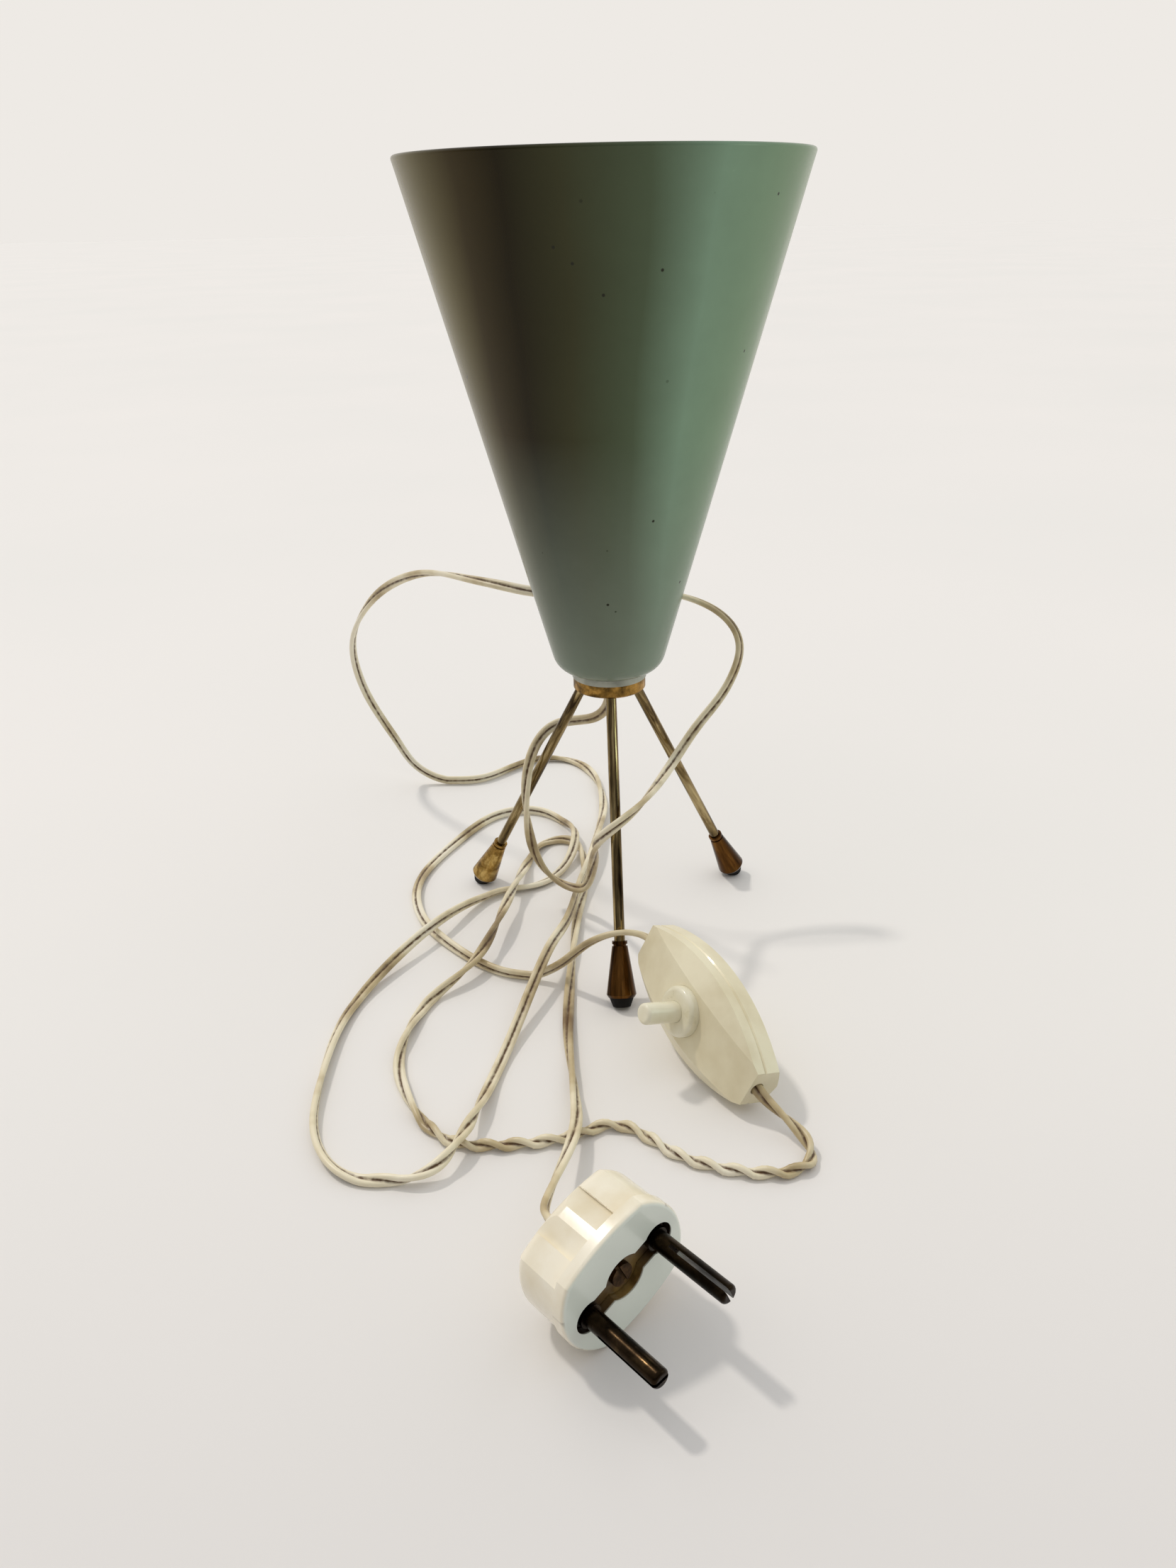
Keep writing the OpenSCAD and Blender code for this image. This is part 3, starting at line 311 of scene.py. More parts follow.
def opening_brown(tree, place, along):
    """Brown of the opening in the plug's face: ochre in the middle, nearly black at the pins."""
    cloud = add(tree, "TexNoise", {"Vector": place, "Scale": pattern(3), "Detail": 4.0})
    ochre = add(tree, "ValToRGB", {"Fac": cloud}, stops=[(0.35, "#5d4521"), (0.65, "#8f7440")])
    middle = fade(tree, along, 2.5, 8)
    return add(tree, "Mix", {SHARE: middle, FIRST: rgba("#2c1a10"), SECOND: ochre}, **COLOUR_MIX)


def plug_face_and_walls(tree, place, colour):
    """The plug's flat face is cooler in colour than its sides; the opening's walls are brown."""
    out, along, across = plug_axes(tree, place)
    sides = fade(tree, out, -0.4, -0.05, both_ways=False)
    faced = add(tree, "Mix", {SHARE: sides, FIRST: rgba("#e3e8df"), SECOND: colour}, **COLOUR_MIX)
    walls = sides
    for value, limits in ((across, OPENING_ACROSS), (along, OPENING_ALONG), (out, OPENING_DEEP)):
        mask = fade(tree, value, *limits)
        walls = add(tree, "Math", {0: walls, 1: mask}, operation="MULTIPLY")
    brown = opening_brown(tree, place, along)
    return add(tree, "Mix", {SHARE: walls, FIRST: faced, SECOND: brown}, **COLOUR_MIX)


def insulator_tint(tree, place, colour):
    """The block seen through the opening has the opening's browns and no others."""
    return opening_brown(tree, place, plug_axes(tree, place)[1])


def moulded(name, light, deep, rough, cloud_mm, grain_mm, relief_mm, coat=0.0, ior=1.5, tint=None):
    """A pressed or moulded material: even in colour, with clouds of age and a fine skin.

    tint, if given, changes the colour from place to place, or makes it where light is None."""
    made, tree, shader, place = surface(name, IOR=ior, Coat_Weight=coat, Coat_Roughness=0.08)
    cloud = add(tree, "TexNoise", {"Vector": place, "Scale": pattern(cloud_mm), "Detail": 5.0})
    colour = light and add(tree, "ValToRGB", {"Fac": cloud}, stops=[(0.32, deep), (0.62, light)])
    if tint:
        colour = tint(tree, place, colour)
    gloss = add(tree, "MapRange", {"Value": cloud, FROM_MIN: 0.3, FROM_MAX: 0.7,
                                   TO_MIN: rough, TO_MAX: rough * 1.35})
    fine = add(tree, "TexNoise", {"Vector": place, "Scale": pattern(grain_mm), "Detail": 3.0})
    bump = add(tree, "Bump", {"Height": fine, "Distance": relief_mm * MM, "Strength": 0.4})
    join(tree, shader, Base_Color=colour, Roughness=gloss, Normal=bump)
    return made


def flex_pvc(looks):
    """Two-core PVC flex, extruded: satin, yellowed, with grime and painted shade in the groove
    between the cores.
    """
    made, tree, shader, place = surface("two_core_flex_pvc_extruded", IOR=1.53, Roughness=0.36)
    groove = add(tree, "Attribute", attribute_name="groove", out="Fac")
    cloud = add(tree, "TexNoise", {"Vector": place, "Scale": pattern(26), "Detail": 4.0})
    tone = add(tree, "ValToRGB", {"Fac": cloud}, stops=[
        (0.3, "#7d6540"), (0.42, "#c2b088"), (0.52, looks.flex), (0.7, "#f3ecd8")])
    fine = add(tree, "TexNoise", {"Vector": place, "Scale": pattern(1.6), "Detail": 3.0})
    depth = add(tree, "Math", {0: groove, 1: fine}, operation="MULTIPLY")
    # Grime and painted shade in the groove between the cores, darker the deeper in it
    groove_grime_and_shade = add(tree, "MapRange", {"Value": depth, FROM_MIN: 0.08, FROM_MAX: 0.5})
    colour = add(tree, "Mix", {SHARE: groove_grime_and_shade, FIRST: tone, SECOND: rgba("#5a3d1c")}, **COLOUR_MIX)
    bump = add(tree, "Bump", {"Height": fine, "Distance": 0.04 * MM, "Strength": 0.4})
    join(tree, shader, Base_Color=colour, Normal=bump)
    return made


def glass(name, colour, rough, clear):
    """Glass, blown, drawn or fused: smooth, and clear, frosted inside or black."""
    made, tree, shader, place = surface(name, IOR=1.5, Transmission_Weight=clear)
    cloud = add(tree, "TexNoise", {"Vector": place, "Scale": pattern(12), "Detail": 2.0})
    tone = add(tree, "ValToRGB", {"Fac": cloud}, stops=[(0.2, colour), (0.8, "#f4f3ee")])
    gloss = add(tree, "MapRange", {"Value": cloud, TO_MIN: rough, TO_MAX: rough + 0.06})
    join(tree, shader, Base_Color=tone, Roughness=gloss)
    return made


def white_paper():
    """White paper, matt: a little uneven, and greyer in front of the lamp by painted shade."""
    made, tree, shader, place = surface("white_paper_matt", Roughness=0.75, IOR=1.45)
    cloud = add(tree, "TexNoise", {"Vector": place, "Scale": pattern(300), "Detail": 3.0})
    tone = add(tree, "ValToRGB", {"Fac": cloud}, stops=[(0.3, "#ecebe9"), (0.7, "#efedeb")])
    axes = add(tree, "SeparateXYZ", {"Vector": place}, out=None)
    # Painted shade: the paper greys from 20 mm in front of the lamp, fully from 0.32 m to 0.5 m
    # out, and is pale again by 1.1 m
    table = add(tree, "MapRange", {"Value": axes["Y"], FROM_MIN: -0.32, FROM_MAX: -0.02},
                interpolation_type="SMOOTHSTEP")
    beyond = add(tree, "MapRange", {"Value": axes["Y"], FROM_MIN: -1.1, FROM_MAX: -0.5,
                                    TO_MIN: 1.0, TO_MAX: 0.0}, interpolation_type="SMOOTHSTEP")
    pale = add(tree, "Math", {0: table, 1: beyond}, operation="MAXIMUM")
    paper = add(tree, "Mix", {SHARE: pale, FIRST: rgba("#d9d7d6"), SECOND: tone}, **COLOUR_MIX)
    join(tree, shader, Base_Color=paper)
    return made


def white_room(brightness):
    """The room: bright behind the lamp and overhead, and dark on the photographer's side."""
    made = bpy.data.worlds.new("white_room")
    made.use_nodes = True
    tree = made.node_tree
    place = add(tree, "TexCoord", out="Generated")
    axes = add(tree, "SeparateXYZ", {"Vector": place}, out=None)
    behind = add(tree, "MapRange", {"Value": axes["Y"], FROM_MIN: -0.55, FROM_MAX: 0.35})
    over = add(tree, "MapRange", {"Value": axes["Z"], FROM_MIN: 0.15, FROM_MAX: 0.9})
    level = add(tree, "Mix", {SHARE: behind, FIRST: rgba("#34322d"), SECOND: rgba("#f0ece7")},
                **COLOUR_MIX)
    tone = add(tree, "Mix", {SHARE: over, FIRST: level, SECOND: rgba((0.88, 0.875, 0.87))},
               **COLOUR_MIX)
    # Seen directly, the room is the same plain paper on every side
    seen = add(tree, "LightPath", out="Is Camera Ray")
    plain = add(tree, "Mix", {SHARE: seen, FIRST: tone, SECOND: rgba("#eeeae5")}, **COLOUR_MIX)
    background = tree.nodes["Background"]
    background.inputs["Strength"].default_value = brightness
    tree.links.new(plain, background.inputs["Color"])
    return made


# Shapes

def new_mesh(name, points, faces, materials, per_face=None):
    """A smooth mesh object in the scene, with its materials and the index of one for each face."""
    data = bpy.data.meshes.new(name)
    data.from_pydata([tuple(map(float, p)) for p in points], [],
                     [tuple(map(int, f)) for f in faces])
    for material in materials:
        data.materials.append(material)
    if per_face is not None:
        data.polygons.foreach_set("material_index", np.asarray(per_face, np.int32))
    data.polygons.foreach_set("use_smooth", np.full(len(data.polygons), True))
    data.update()
    made = bpy.data.objects.new(name, data)
    bpy.context.scene.collection.objects.link(made)
    return made


def dress(material, *nodes):
    """Gives CAD nodes a material."""
    for node in nodes:
        slots = frame["nodes"][node].data.materials
        slots.clear()
        slots.append(material)


def ring_faces(rings, count, looped=False):
    """Faces between rings of count points, and from the last ring to the first if looped."""
    faces = []
    for i in range(rings if looped else rings - 1):
        n = (i + 1) % rings
        for k in range(count):
            m = (k + 1) % count
            faces.append((i * count + k, i * count + m, n * count + m, n * count + k))
    return faces


def evenly(line, step):
    """The same line with points a step apart, and the distance along it of each."""
    run = np.r_[0, np.cumsum(np.linalg.norm(np.diff(line, axis=0), axis=1))]
    count = max(2, int(round(run[-1] / step)) + 1)
    at = np.linspace(0, run[-1], count)
    return np.stack([np.interp(at, run, line[:, k]) for k in range(3)], axis=1), at


def headings(line):
    """The direction of a line at each of its points."""
    ahead = np.gradient(line, axis=0)
    return ahead / np.linalg.norm(ahead, axis=1)[:, None]


def eased(share):
    """A share from 0 to 1 that starts and ends gently."""
    share = np.clip(share, 0, 1)
    return share ** 2 * (3 - 2 * share)


def smooth_line(points, step, soften):
    """One smooth curve through the points: a centripetal spline, softened over a short length."""
    p = np.asarray(points, float)
    p = np.vstack([2 * p[0] - p[1], p, 2 * p[-1] - p[-2]])
    out = []
    for a, b, c, d in zip(p[:-3], p[1:-2], p[2:-1], p[3:]):
        t1 = np.linalg.norm(b - a) ** 0.5
        t2 = t1 + np.linalg.norm(c - b) ** 0.5
        t3 = t2 + np.linalg.norm(d - c) ** 0.5
        for t in np.linspace(t1, t2, SPLINE_STEPS, endpoint=False):
            ab = (t1 - t) / t1 * a + t / t1 * b
            bc = (t2 - t) / (t2 - t1) * b + (t - t1) / (t2 - t1) * c
            cd = (t3 - t) / (t3 - t2) * c + (t - t2) / (t3 - t2) * d
            abc = (t2 - t) / t2 * ab + t / t2 * bc
            bcd = (t3 - t) / (t3 - t1) * bc + (t - t1) / (t3 - t1) * cd
            out.append((t2 - t) / (t2 - t1) * abc + (t - t1) / (t2 - t1) * bcd)
    line, _ = evenly(np.vstack([out, p[-2]]), step)
    reach = int(3 * soften / step)
    weight = np.exp(-0.5 * (np.arange(-reach, reach + 1) * step / soften) ** 2)
    weight /= weight.sum()
    before = 2 * line[0] - line[reach:0:-1]
    after = 2 * line[-1] - line[-2:-reach - 2:-1]
    padded = np.vstack([before, line, after])
    soft = np.stack([np.convolve(padded[:, k], weight, "valid") for k in range(3)], axis=1)
    return evenly(soft, step)


def ribbon_sides(line):
    """For each point, the heading, and the way from core to core if the flex lay untwisted."""
    ahead = headings(line)
    level = np.cross(ahead, (0, 0, 1))
    side = np.array((1.0, 0.0, 0.0))
    sides = []
    for forward, flat in zip(ahead, level):
        side = side - side.dot(forward) * forward
        side /= np.linalg.norm(side)
        # Its own weight turns a flat flex level, little by little
        pull = 0.06 * flat.dot(flat)
        side = side + pull * (flat if flat.dot(side) >= 0 else -flat)
        side = side - side.dot(forward) * forward
        side /= np.linalg.norm(side)
        sides.append(side)
    return ahead, np.array(sides)


def turned_sides(line, along, turns):
    """For each point, the direction from core to core with the turns that the cores take."""
    ahead, flat = ribbon_sides(line)
    turn = 2 * math.pi * np.interp(along / MM, *zip(*turns))
    kernel = np.hanning(TURN_RINGS) / np.hanning(TURN_RINGS).sum()
    turn = np.convolve(np.pad(turn, TURN_RINGS // 2, mode="edge"), kernel, "valid")
    return flat * np.cos(turn)[:, None] + np.cross(ahead, flat) * np.sin(turn)[:, None]


def laid_on_table(line, along, sides, core_r, width):
    """Lowers the parts that lie on the table, because a flat flex lies lower than a round one."""
    held_end, top, fall, gap = 26 * MM, 18 * MM, 10 * MM, 0.05 * MM
    free = eased(np.minimum(along, along[-1] - along) / held_end)
    low = eased((top - line[:, 2]) / fall)
    least = core_r + (width / 2 - core_r) * np.abs(sides[:, 2]) + gap
    lowered = line.copy()
    lowered[:, 2] = np.maximum(line[:, 2] - (width / 2 - core_r) * free * low, least)
    return lowered


def core_outline(core_r, spread):
    """Outline of the two joined cores, and from 0 to 1 how deep in the groove each point lies."""
    around = np.linspace(-CORE_SWEEP, CORE_SWEEP, CORE_POINTS)
    angles = np.radians(around)
    right = np.stack([spread + core_r * np.cos(angles), core_r * np.sin(angles)], axis=1)
    depth = np.clip((np.abs(around) - GROOVE_FROM) / (GROOVE_FULL - GROOVE_FROM), 0, 1)
    return np.vstack([right, -right]), np.tile(depth, 2)


def two_core_flex(name, route, turns, sizes, material):
    """Sweeps the outline of two joined cores along a route: the piece, its path and its width."""
    core_r = sizes.core_d / 2
    spread = sizes.core_gap / 2
    width = 2 * (core_r + spread)
    line, along = smooth_line(np.array(route) * MM, sizes.step, sizes.soften)
    sides = turned_sides(line, along, turns)
    line = laid_on_table(line, along, sides, core_r, width)
    ahead = headings(line)
    sides -= (sides * ahead).sum(axis=1)[:, None] * ahead
    sides /= np.linalg.norm(sides, axis=1)[:, None]
    up = np.cross(ahead, sides)
    outline, depth = core_outline(core_r, spread)
    points = (line[:, None, :] + outline[None, :, :1] * sides[:, None, :]
              + outline[None, :, 1:] * up[:, None, :])
    points[:, :, 2] = np.maximum(points[:, :, 2], LEAST_HEIGHT * MM)
    count = len(outline)
    faces = ring_faces(len(line), count)
    last = (len(line) - 1) * count
    faces.append(tuple(range(count))[::-1])
    faces.append(tuple(last + k for k in range(count)))
    made = new_mesh(name, points.reshape(-1, 3), faces, [material])
    groove = made.data.attributes.new("groove", "FLOAT", "POINT")
    groove.data.foreach_set("value", np.tile(depth, len(line)).astype(np.float32))
    return made, line, width


def turned(name, profile, steps, materials, per_row, change):
    """A solid of revolution round the lamp's axis, from (radius, height) points in millimetres."""
    angles = np.linspace(0, 2 * math.pi, steps, endpoint=False)
    rows = np.array(profile, float) * MM
    rings = []
    for radius, height in rows:
        reach = radius * change(angles, height)
        rings.append(np.stack([reach * np.cos(angles), reach * np.sin(angles),
                               np.full(steps, height)], axis=1))
    faces = ring_faces(len(rows), steps, looped=True)
    return new_mesh(name, np.vstack(rings), faces, materials, np.repeat(per_row, steps))


def shade_profile():
    """Outline of the spun cone, up the outside, over the rim and down the inside.

    With it comes the material of each row: the green enamel or the white."""
    low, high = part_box("shade")
    rim_r, foot_z = high.x / MM, low.z / MM
    rim_z = high.z / MM - RIM_BEAD
    slope = (rim_r - FOOT_RADIUS) / (rim_z - foot_z)
    lean = math.atan(slope)

    def one_side(inset):
        radius, floor_z = FOOT_CORNER - inset, foot_z + inset
        foot = FOOT_RADIUS + slope * inset - inset / math.cos(lean)
        x = foot + slope * radius - radius / math.cos(lean)
        z = floor_z + radius
        arc = [(x + radius * math.sin(a), z - radius * math.cos(a))
               for a in np.linspace(0, math.pi / 2 - lean, CORNER_ROWS)]
        start, top = arc[-1], (foot + slope * (rim_z - floor_z), rim_z)
        wall = [(start[0] + (top[0] - start[0]) * t, start[1] + (top[1] - start[1]) * t)
                for t in np.linspace(0, 1, WALL_ROWS + 2)[1:-1]]
        return [(SHADE_HOLE, floor_z)] + arc + wall

    bead_x = rim_r - RIM_BEAD
    rim = [(bead_x + RIM_BEAD * math.cos(a), rim_z + RIM_BEAD * math.sin(a))
           for a in np.radians(np.linspace(-15, 200, RIM_ROWS))]
    outside, inside = one_side(0.0), one_side(SHADE_WALL)[::-1]
    rows = outside + rim + inside
    green = len(outside) + GREEN_RIM_ROWS
    return rows, [0] * green + [1] * (len(rows) - green)


def out_of_true(angles, height):
    """The rim is a little out of round, always inwards, and less so lower down."""
    true_below, span, most = 120 * MM, 90 * MM, 0.004
    share = max(0.0, (height - true_below) / span)
    wave = 0.5 + 0.3 * np.cos(2 * angles + 0.6) + 0.2 * np.cos(5 * angles + 2.0)
    return 1 - most * share * wave


def return_spring():
    """The switch's own coil as a piece of its own, in place of its solid."""
    coil = bpy.data.objects.new("return_spring", frame["nodes"]["button_spring"].data.copy())
    bpy.context.scene.collection.objects.link(coil)
    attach(coil, "lamp")
    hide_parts("button_spring")
    return coil


def shine(data, at, colour):
    """Puts a light in the scene, aimed from there at the table under the lamp."""
    data.color = linear(colour)
    made = bpy.data.objects.new(data.name, data)
    bpy.context.scene.collection.objects.link(made)
    made.location = at
    made.rotation_euler = Vector(at).to_track_quat("Z", "Y").to_euler()
    return made


def collected(name, pieces):
    """A collection of pieces, for a light to be linked to."""
    made = bpy.data.collections.new(name)
    for piece in pieces:
        made.objects.link(piece)
    return made


# What a user can change

class FlexSizes(bpy.types.PropertyGroup):
    """Sizes of the two-core flex."""
    core_d: FloatProperty(
        name="Core", description="Diameter of one core",
        default=1.6 * MM, min=1.0 * MM, subtype="DISTANCE", unit="LENGTH", precision=4)
    core_gap: FloatProperty(
        name="Spacing", description="Distance between the cores' middles",
        default=1.5 * MM, min=1.0 * MM, subtype="DISTANCE", unit="LENGTH", precision=4)
    step: FloatProperty(
        name="Step", description="Distance between two rings of the mesh",
        default=1.1 * MM, min=0.5 * MM, subtype="DISTANCE", unit="LENGTH", precision=4)
    soften: FloatProperty(
        name="Softening", description="Length over which bends are softened",
        default=3.2 * MM, min=1.0 * MM, subtype="DISTANCE", unit="LENGTH", precision=4)


class ShadeSizes(bpy.types.PropertyGroup):
    """Fineness of the cone."""
    steps_round: IntProperty(
        name="Steps round", description="Faces round the cone", default=224, min=48, max=512)


class Finishes(bpy.types.PropertyGroup):
    """Colours of the finishes that show most."""
    enamel: FloatVectorProperty(
        name="Enamel", description="Grey-green of the cone",
        default=linear("#4f5e48"), subtype="COLOR", min=0, max=1)
    flex: FloatVectorProperty(
        name="Flex", description="Aged cream of the flex",
        default=linear("#e6dbbd"), subtype="COLOR", min=0, max=1)


class StageLights(bpy.types.PropertyGroup):
    """Strength of the lights."""
    key: FloatProperty(
        name="Key", description="Strength of the light from behind at the left",
        default=0.92, min=0)
    fill: FloatProperty(
        name="Fill", description="Power of the soft light at the right",
        default=0.8, min=0, unit="POWER")
    sky: FloatProperty(
        name="Room", description="Brightness of the white room",
        default=1.0, min=0)


# One operator for each piece or group of pieces

class LAMP_OT_camera(bpy.types.Operator):
    """Sets the camera where the photograph was taken"""
    bl_idname = "lamp.camera"
    bl_label = "Camera"

    def execute(self, context):
        data = bpy.data.cameras.new("camera")
        data.sensor_fit = "HORIZONTAL"
        data.sensor_width = SENSOR_MM
        data.lens = FOCAL_PIXELS / PHOTO_WIDTH * SENSOR_MM
        data.clip_start = 10 * MM
        made = bpy.data.objects.new("camera", data)
        context.scene.collection.objects.link(made)
        right, up = Vector(CAMERA_RIGHT).normalized(), Vector(CAMERA_UP)
        back = right.cross(up).normalized()
        up = back.cross(right)
        turn = Matrix((right, up, back)).transposed().to_4x4()
        made.matrix_world = Matrix.Translation(Vector(CAMERA_AT) * MM) @ turn
        context.scene.camera = made
        return {"FINISHED"}


class LAMP_OT_flex(bpy.types.Operator):
    """Lays the two lengths of flex along their routes"""
    bl_idname = "lamp.flex"
    bl_label = "Flex"

    def execute(self, context):
        sizes = context.scene.flex_sizes
        material = flex_pvc(context.scene.finishes)
        to_switch, path, width = two_core_flex("flex_to_switch", LAMP_ROUTE, LAMP_TURNS, sizes,
                                               material)
        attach(to_switch, "lamp")
        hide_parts("lamp_flex")
        return_spring()
        to_plug, path, width = two_core_flex("flex_to_plug", PLUG_ROUTE, PLUG_TURNS, sizes,
                                             material)
        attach(to_plug, "lamp")
        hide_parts("plug_flex")
        dress(material, "holder_leads")
        return {"FINISHED"}


class LAMP_OT_shade(bpy.types.Operator):
    """Spins the cone and enamels it outside and inside"""
    bl_idname = "lamp.shade"
    bl_label = "Shade"

    def execute(self, context):
        rows, part = shade_profile()
        materials = [stove_enamel(context.scene.finishes), white_enamel()]
        steps = context.scene.shade_sizes.steps_round
        cone = turned("shade_cone", rows, steps, materials, part, out_of_true)
        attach(cone, "lamp")
        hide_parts("shade")
        # Enamelled washer: pale and satin, with a little grey in it
        dress(moulded("pale_washer_enamelled", "#b6b8ac", "#8f9287", rough=0.35, cloud_mm=5,
                      grain_mm=0.8, relief_mm=0.02), "shade_washer")
        return {"FINISHED"}


class LAMP_OT_stand(bpy.types.Operator):
    """Gives the disc, the legs and the feet their tarnished brass"""
    bl_idname = "lamp.stand"
    bl_label = "Stand"

    def execute(self, context):
        # Turned brass: golden, and brown in spots
        dress(aged_metal("disc_brass_turned_tarnished", "#b98f4a", "#8a6a35", "#4f3c20",
                         rough=0.3, spot_mm=4, share=0.5), "base_disc")
        # Drawn rod: sharp reflections and dark streaks along it
        dress(aged_metal("leg_brass_drawn_tarnished", "#c4b184", "#83704c", "#33271a",
                         rough=0.06, spot_mm=3, share=0.47, drawn=True, dulled=0.1),
              "leg_front", "leg_left", "leg_right")
        # Polished feet: red-brown where the lacquer has darkened
        dress(aged_metal("foot_brass_turned_worn", "#8d6530", "#5d3d1b", "#2b1b0d",
                         rough=0.12, spot_mm=6, share=0.47, drawn=True, dulled=0.08),
              "foot_front", "foot_right")
        # The left foot has been handled most, and its lacquer is almost gone
        dress(aged_metal("foot_brass_turned_bare", "#c9ab6b", "#94743c", "#3d2a14",
                         rough=0.18, spot_mm=4, share=0.5, dulled=0.15), "foot_left")
        # Moulded rubber: black and dull
        dress(moulded("black_rubber_moulded", "#0c0908", "#060504", rough=0.6, cloud_mm=3,
                      grain_mm=0.5, relief_mm=0.05, ior=1.3),
              "foot_tip_front", "foot_tip_left", "foot_tip_right")
        return {"FINISHED"}


class LAMP_OT_holder(bpy.types.Operator):
    """Finishes the nipple, the holder and the bulb in the cone"""
    bl_idname = "lamp.holder"
    bl_label = "Holder and bulb"

    def execute(self, context):
        # Turned brass, kept clean by its place inside
        dress(aged_metal("nipple_brass_turned", "#b99a5e", "#98794a", "#5f4a2c",
                         rough=0.3, spot_mm=3, share=0.55), "nipple", "shade_nut")
        # Stamped brass: paler and evenly satin
        dress(aged_metal("contact_brass_stamped", "#c7a868", "#a98d55", "#6d5835",
                         rough=0.28, spot_mm=3, share=0.6),
              "screw_shell", "centre_contact", "holder_screws", "switch_contacts",
              "contact_screws", "switch_screws", "pin_screws")
        # Pressed phenolic: nearly black, with a low gloss from the mould
        dress(moulded("black_phenolic_pressed", "#1d1613", "#0f0b0a", rough=0.28, cloud_mm=6,
                      grain_mm=0.6, relief_mm=0.02), "holder_cap", "holder_sleeve", "cord_bush")
        # Glazed porcelain: white and glassy
        dress(moulded("porcelain_glazed", "#e9e5da", "#d8d2c3", rough=0.16, cloud_mm=8,
                      grain_mm=1.2, relief_mm=0.01), "holder_insert")
        # Rolled aluminium: grey-white and satin
        dress(aged_metal("bulb_cap_aluminium_rolled", "#c9c6bf", "#a9a69d", "#7a766c",
                         rough=0.3, spot_mm=3, share=0.6), "bulb_cap")
        # Black glass fused round the cap's contact, a bulb frosted inside, and its clear stem
        dress(glass("black_glass_fused", "#16131a", rough=0.08, clear=0.0), "bulb_tip")
        dress(glass("pearl_glass_blown", "#e9e7df", rough=0.3, clear=0.75), "bulb_glass")
        dress(glass("stem_glass_drawn", "#dfe6e0", rough=0.05, clear=0.9), "bulb_stem")
        return {"FINISHED"}


class LAMP_OT_switch(bpy.types.Operator):
    """Finishes the switch on the flex"""
    bl_idname = "lamp.switch"
    bl_label = "Switch"

    def execute(self, context):
        # Pressed urea: opaque ivory with the mould's polish, yellowed in clouds
        dress(moulded("ivory_urea_pressed", "#e9e1c4", "#dacfae", rough=0.3, cloud_mm=12,
                      grain_mm=0.7, relief_mm=0.03, coat=0.15), "switch_front", "switch_back")
        # The turned parts are rubbed smooth and have stayed whiter
        dress(moulded("ivory_urea_turned", "#ece7d1", "#ded7ba", rough=0.26, cloud_mm=7,
                      grain_mm=0.9, relief_mm=0.02, coat=0.15), "button_collar", "push_button")
        # The return spring, of drawn steel wire, with a mesh of its own
        coil = bpy.data.objects["return_spring"]
        coil.data.materials.clear()
        coil.data.materials.append(aged_metal("spring_steel_drawn", "#a9a9ab", "#8d8d90", "#66666a",
                                              rough=0.3, spot_mm=2, share=0.6))
        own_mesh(coil)
        return {"FINISHED"}


class LAMP_OT_plug(bpy.types.Operator):
    """Finishes the plug and its pins"""
    bl_idname = "lamp.plug"
    bl_label = "Plug"

    def execute(self, context):
        # Pressed and polished urea: cream, with the highest gloss on the lamp
        dress(moulded("cream_urea_pressed_polished", "#f5eedb", "#e9dec3", rough=0.2, cloud_mm=9,
                      grain_mm=1.0, relief_mm=0.02, coat=0.4, tint=plug_face_and_walls),
              "plug_body", "plug_face")
        # Pressed phenolic: mottled brown
        dress(moulded("brown_phenolic_pressed", None, None, rough=0.3, cloud_mm=7, grain_mm=0.6,
                      relief_mm=0.05, tint=insulator_tint), "plug_insulator")
        # Pressed fibre: brown and nearly matt
        dress(moulded("brown_fibre_pressed", "#8a6a34", "#4a2812", rough=0.4, cloud_mm=4,
                      grain_mm=0.6, relief_mm=0.05), "flex_grip")
        # Oxidised brass: almost black, and still polished by the socket
        dress(aged_metal("pin_brass_oxidised", "#4a3b26", "#2a2015", "#15100a",
                         rough=0.17, spot_mm=7, share=0.44), "plug_pin_upper", "plug_pin_lower")
        # Dirty brass: brown and nearly matt
        dress(aged_metal("screw_brass_dirty", "#6a4f2c", "#4c361d", "#2c1d0f",
                         rough=0.35, spot_mm=2, share=0.5), "plug_screw")
        return {"FINISHED"}


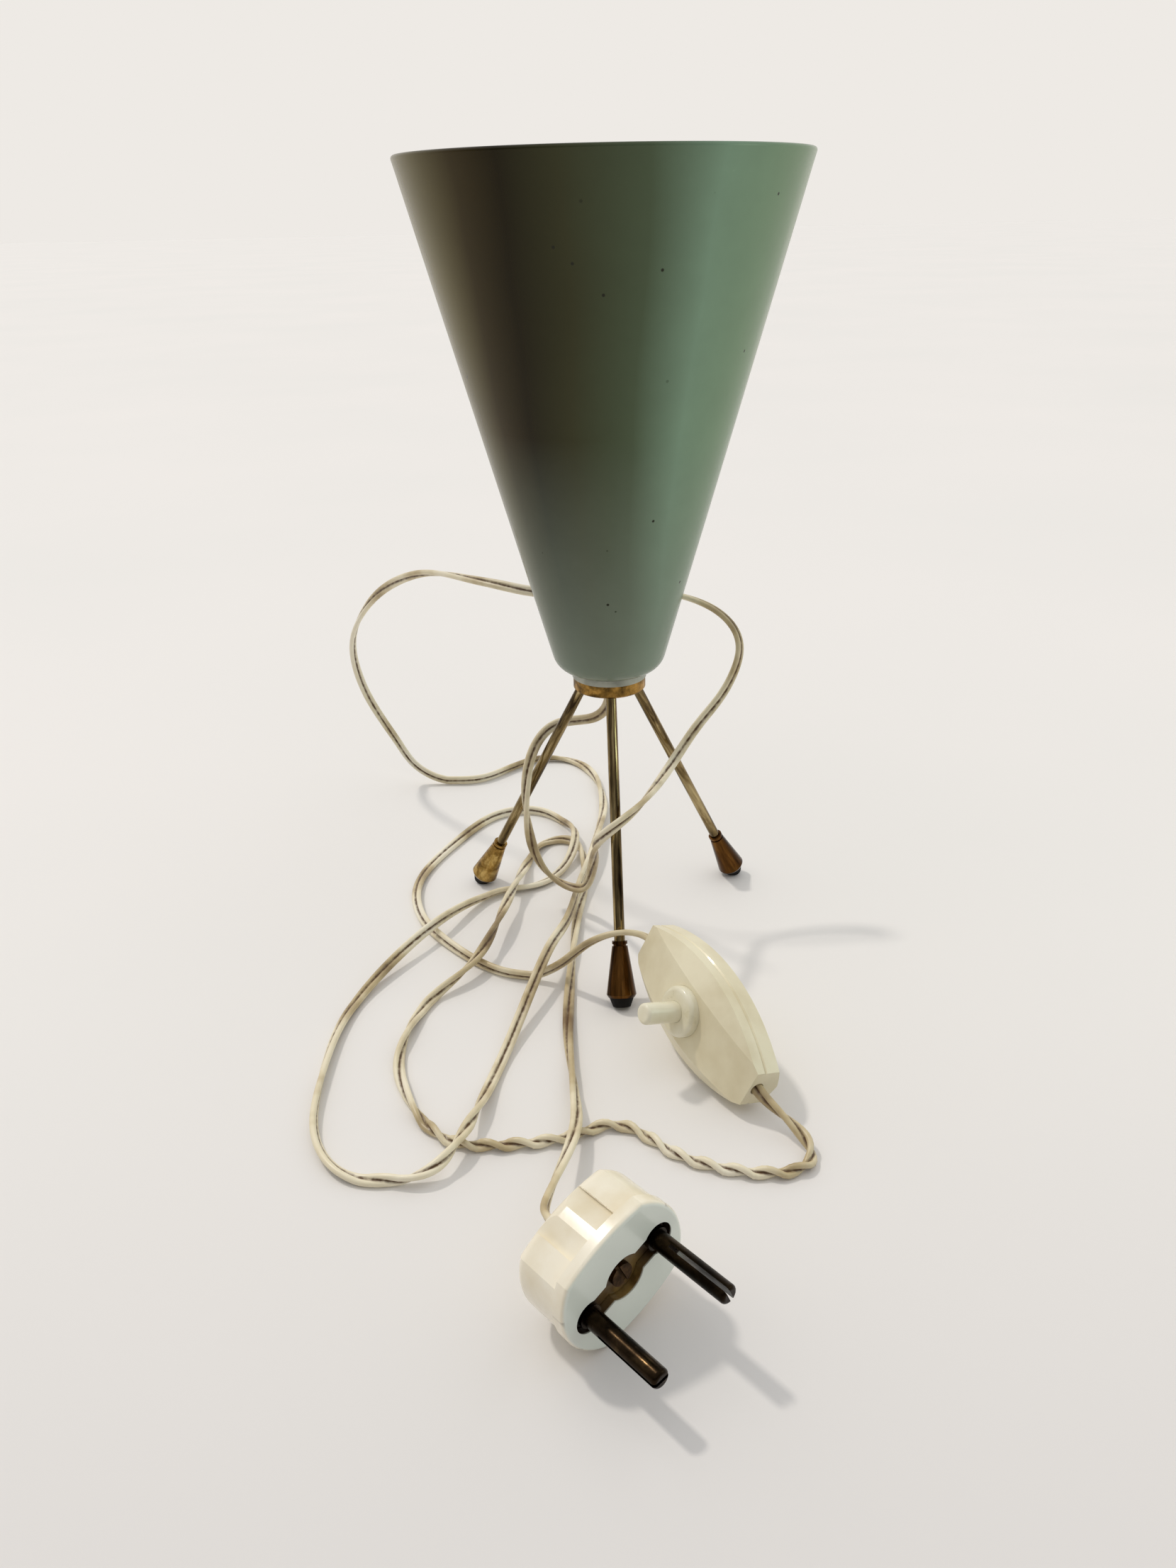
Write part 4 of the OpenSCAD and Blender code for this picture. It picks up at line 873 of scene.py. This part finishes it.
class LAMP_OT_stage(bpy.types.Operator):
    """Makes the white sheet of paper, the room and the lights"""
    bl_idname = "lamp.stage"
    bl_label = "Stage and lights"

    def execute(self, context):
        scene, strength = context.scene, context.scene.stage_lights
        corners = [(x * PAPER_REACH, y * PAPER_REACH, PAPER_Z)
                   for x, y in ((-1, -1), (1, -1), (1, 1), (-1, 1))]
        sheet = new_mesh("paper_floor", corners, [(0, 1, 2, 3)], [white_paper()])
        key = bpy.data.lights.new("key_light", "SUN")
        key.energy = strength.key
        key.angle = KEY_ANGLE
        fill = bpy.data.lights.new("fill_light", "AREA")
        fill.shape = "DISK"
        fill.size = FILL_WIDTH
        fill.energy = strength.fill
        key_lamp = shine(key, KEY_FROM, "#fff8ef")
        fill_lamp = shine(fill, FILL_FROM, "#dcf5e6")
        # The key light is for the table, the legs and the small pieces on the table;
        # only those small pieces cast its shadow
        small = ("foot_", "switch_", "button_", "push_", "plug_")
        near_table = [piece for name, piece in frame["nodes"].items()
                      if name.startswith(small) and not name.endswith("_flex")]
        near_table += [bpy.data.objects[name] for name in ("flex_to_switch", "flex_to_plug")]
        legs = [piece for name, piece in frame["nodes"].items() if name.startswith("leg_")]
        linking = key_lamp.light_linking
        linking.blocker_collection = collected("pieces_near_the_table", near_table)
        linking.receiver_collection = collected("lit_by_the_key", [*legs, *near_table, sheet])
        # The fill light is for the lamp alone, so that it leaves no bright pool on the paper
        dressed = [piece for piece in scene.objects if piece.type == "MESH" and piece != sheet]
        fill_lamp.light_linking.receiver_collection = collected("lit_by_the_fill", dressed)
        scene.world = white_room(strength.sky)
        scene.view_settings.view_transform = "Standard"
        return {"FINISHED"}


class LAMP_PT_panel(bpy.types.Panel):
    """Lists the pieces of the lamp and what can be changed"""
    bl_idname = "LAMP_PT_panel"
    bl_label = "Table Lamp"
    bl_space_type = "VIEW_3D"
    bl_region_type = "UI"
    bl_category = "Table Lamp"

    def draw(self, context):
        layout = self.layout
        for operator in OPERATORS:
            layout.operator(operator.bl_idname)
        for name, group in GROUPS.items():
            box = layout.box()
            for key in group.__annotations__:
                box.prop(getattr(context.scene, name), key)


OPERATORS = (LAMP_OT_camera, LAMP_OT_flex, LAMP_OT_shade, LAMP_OT_stand, LAMP_OT_holder,
             LAMP_OT_switch, LAMP_OT_plug, LAMP_OT_stage)
GROUPS = {"flex_sizes": FlexSizes, "shade_sizes": ShadeSizes, "finishes": Finishes,
          "stage_lights": StageLights}


def register():
    for group in GROUPS.values():
        bpy.utils.register_class(group)
    for name, group in GROUPS.items():
        setattr(bpy.types.Scene, name, PointerProperty(type=group))
    for operator in OPERATORS:
        bpy.utils.register_class(operator)
    bpy.utils.register_class(LAMP_PT_panel)


def unregister():
    bpy.utils.unregister_class(LAMP_PT_panel)
    for operator in reversed(OPERATORS):
        bpy.utils.unregister_class(operator)
    for name in GROUPS:
        delattr(bpy.types.Scene, name)
    for group in reversed(list(GROUPS.values())):
        bpy.utils.unregister_class(group)


def main():
    """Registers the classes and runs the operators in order."""
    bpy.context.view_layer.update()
    register()
    for operator in OPERATORS:
        group, call = operator.bl_idname.split(".")
        getattr(getattr(bpy.ops, group), call)()


if __name__ == "__main__":
    main()
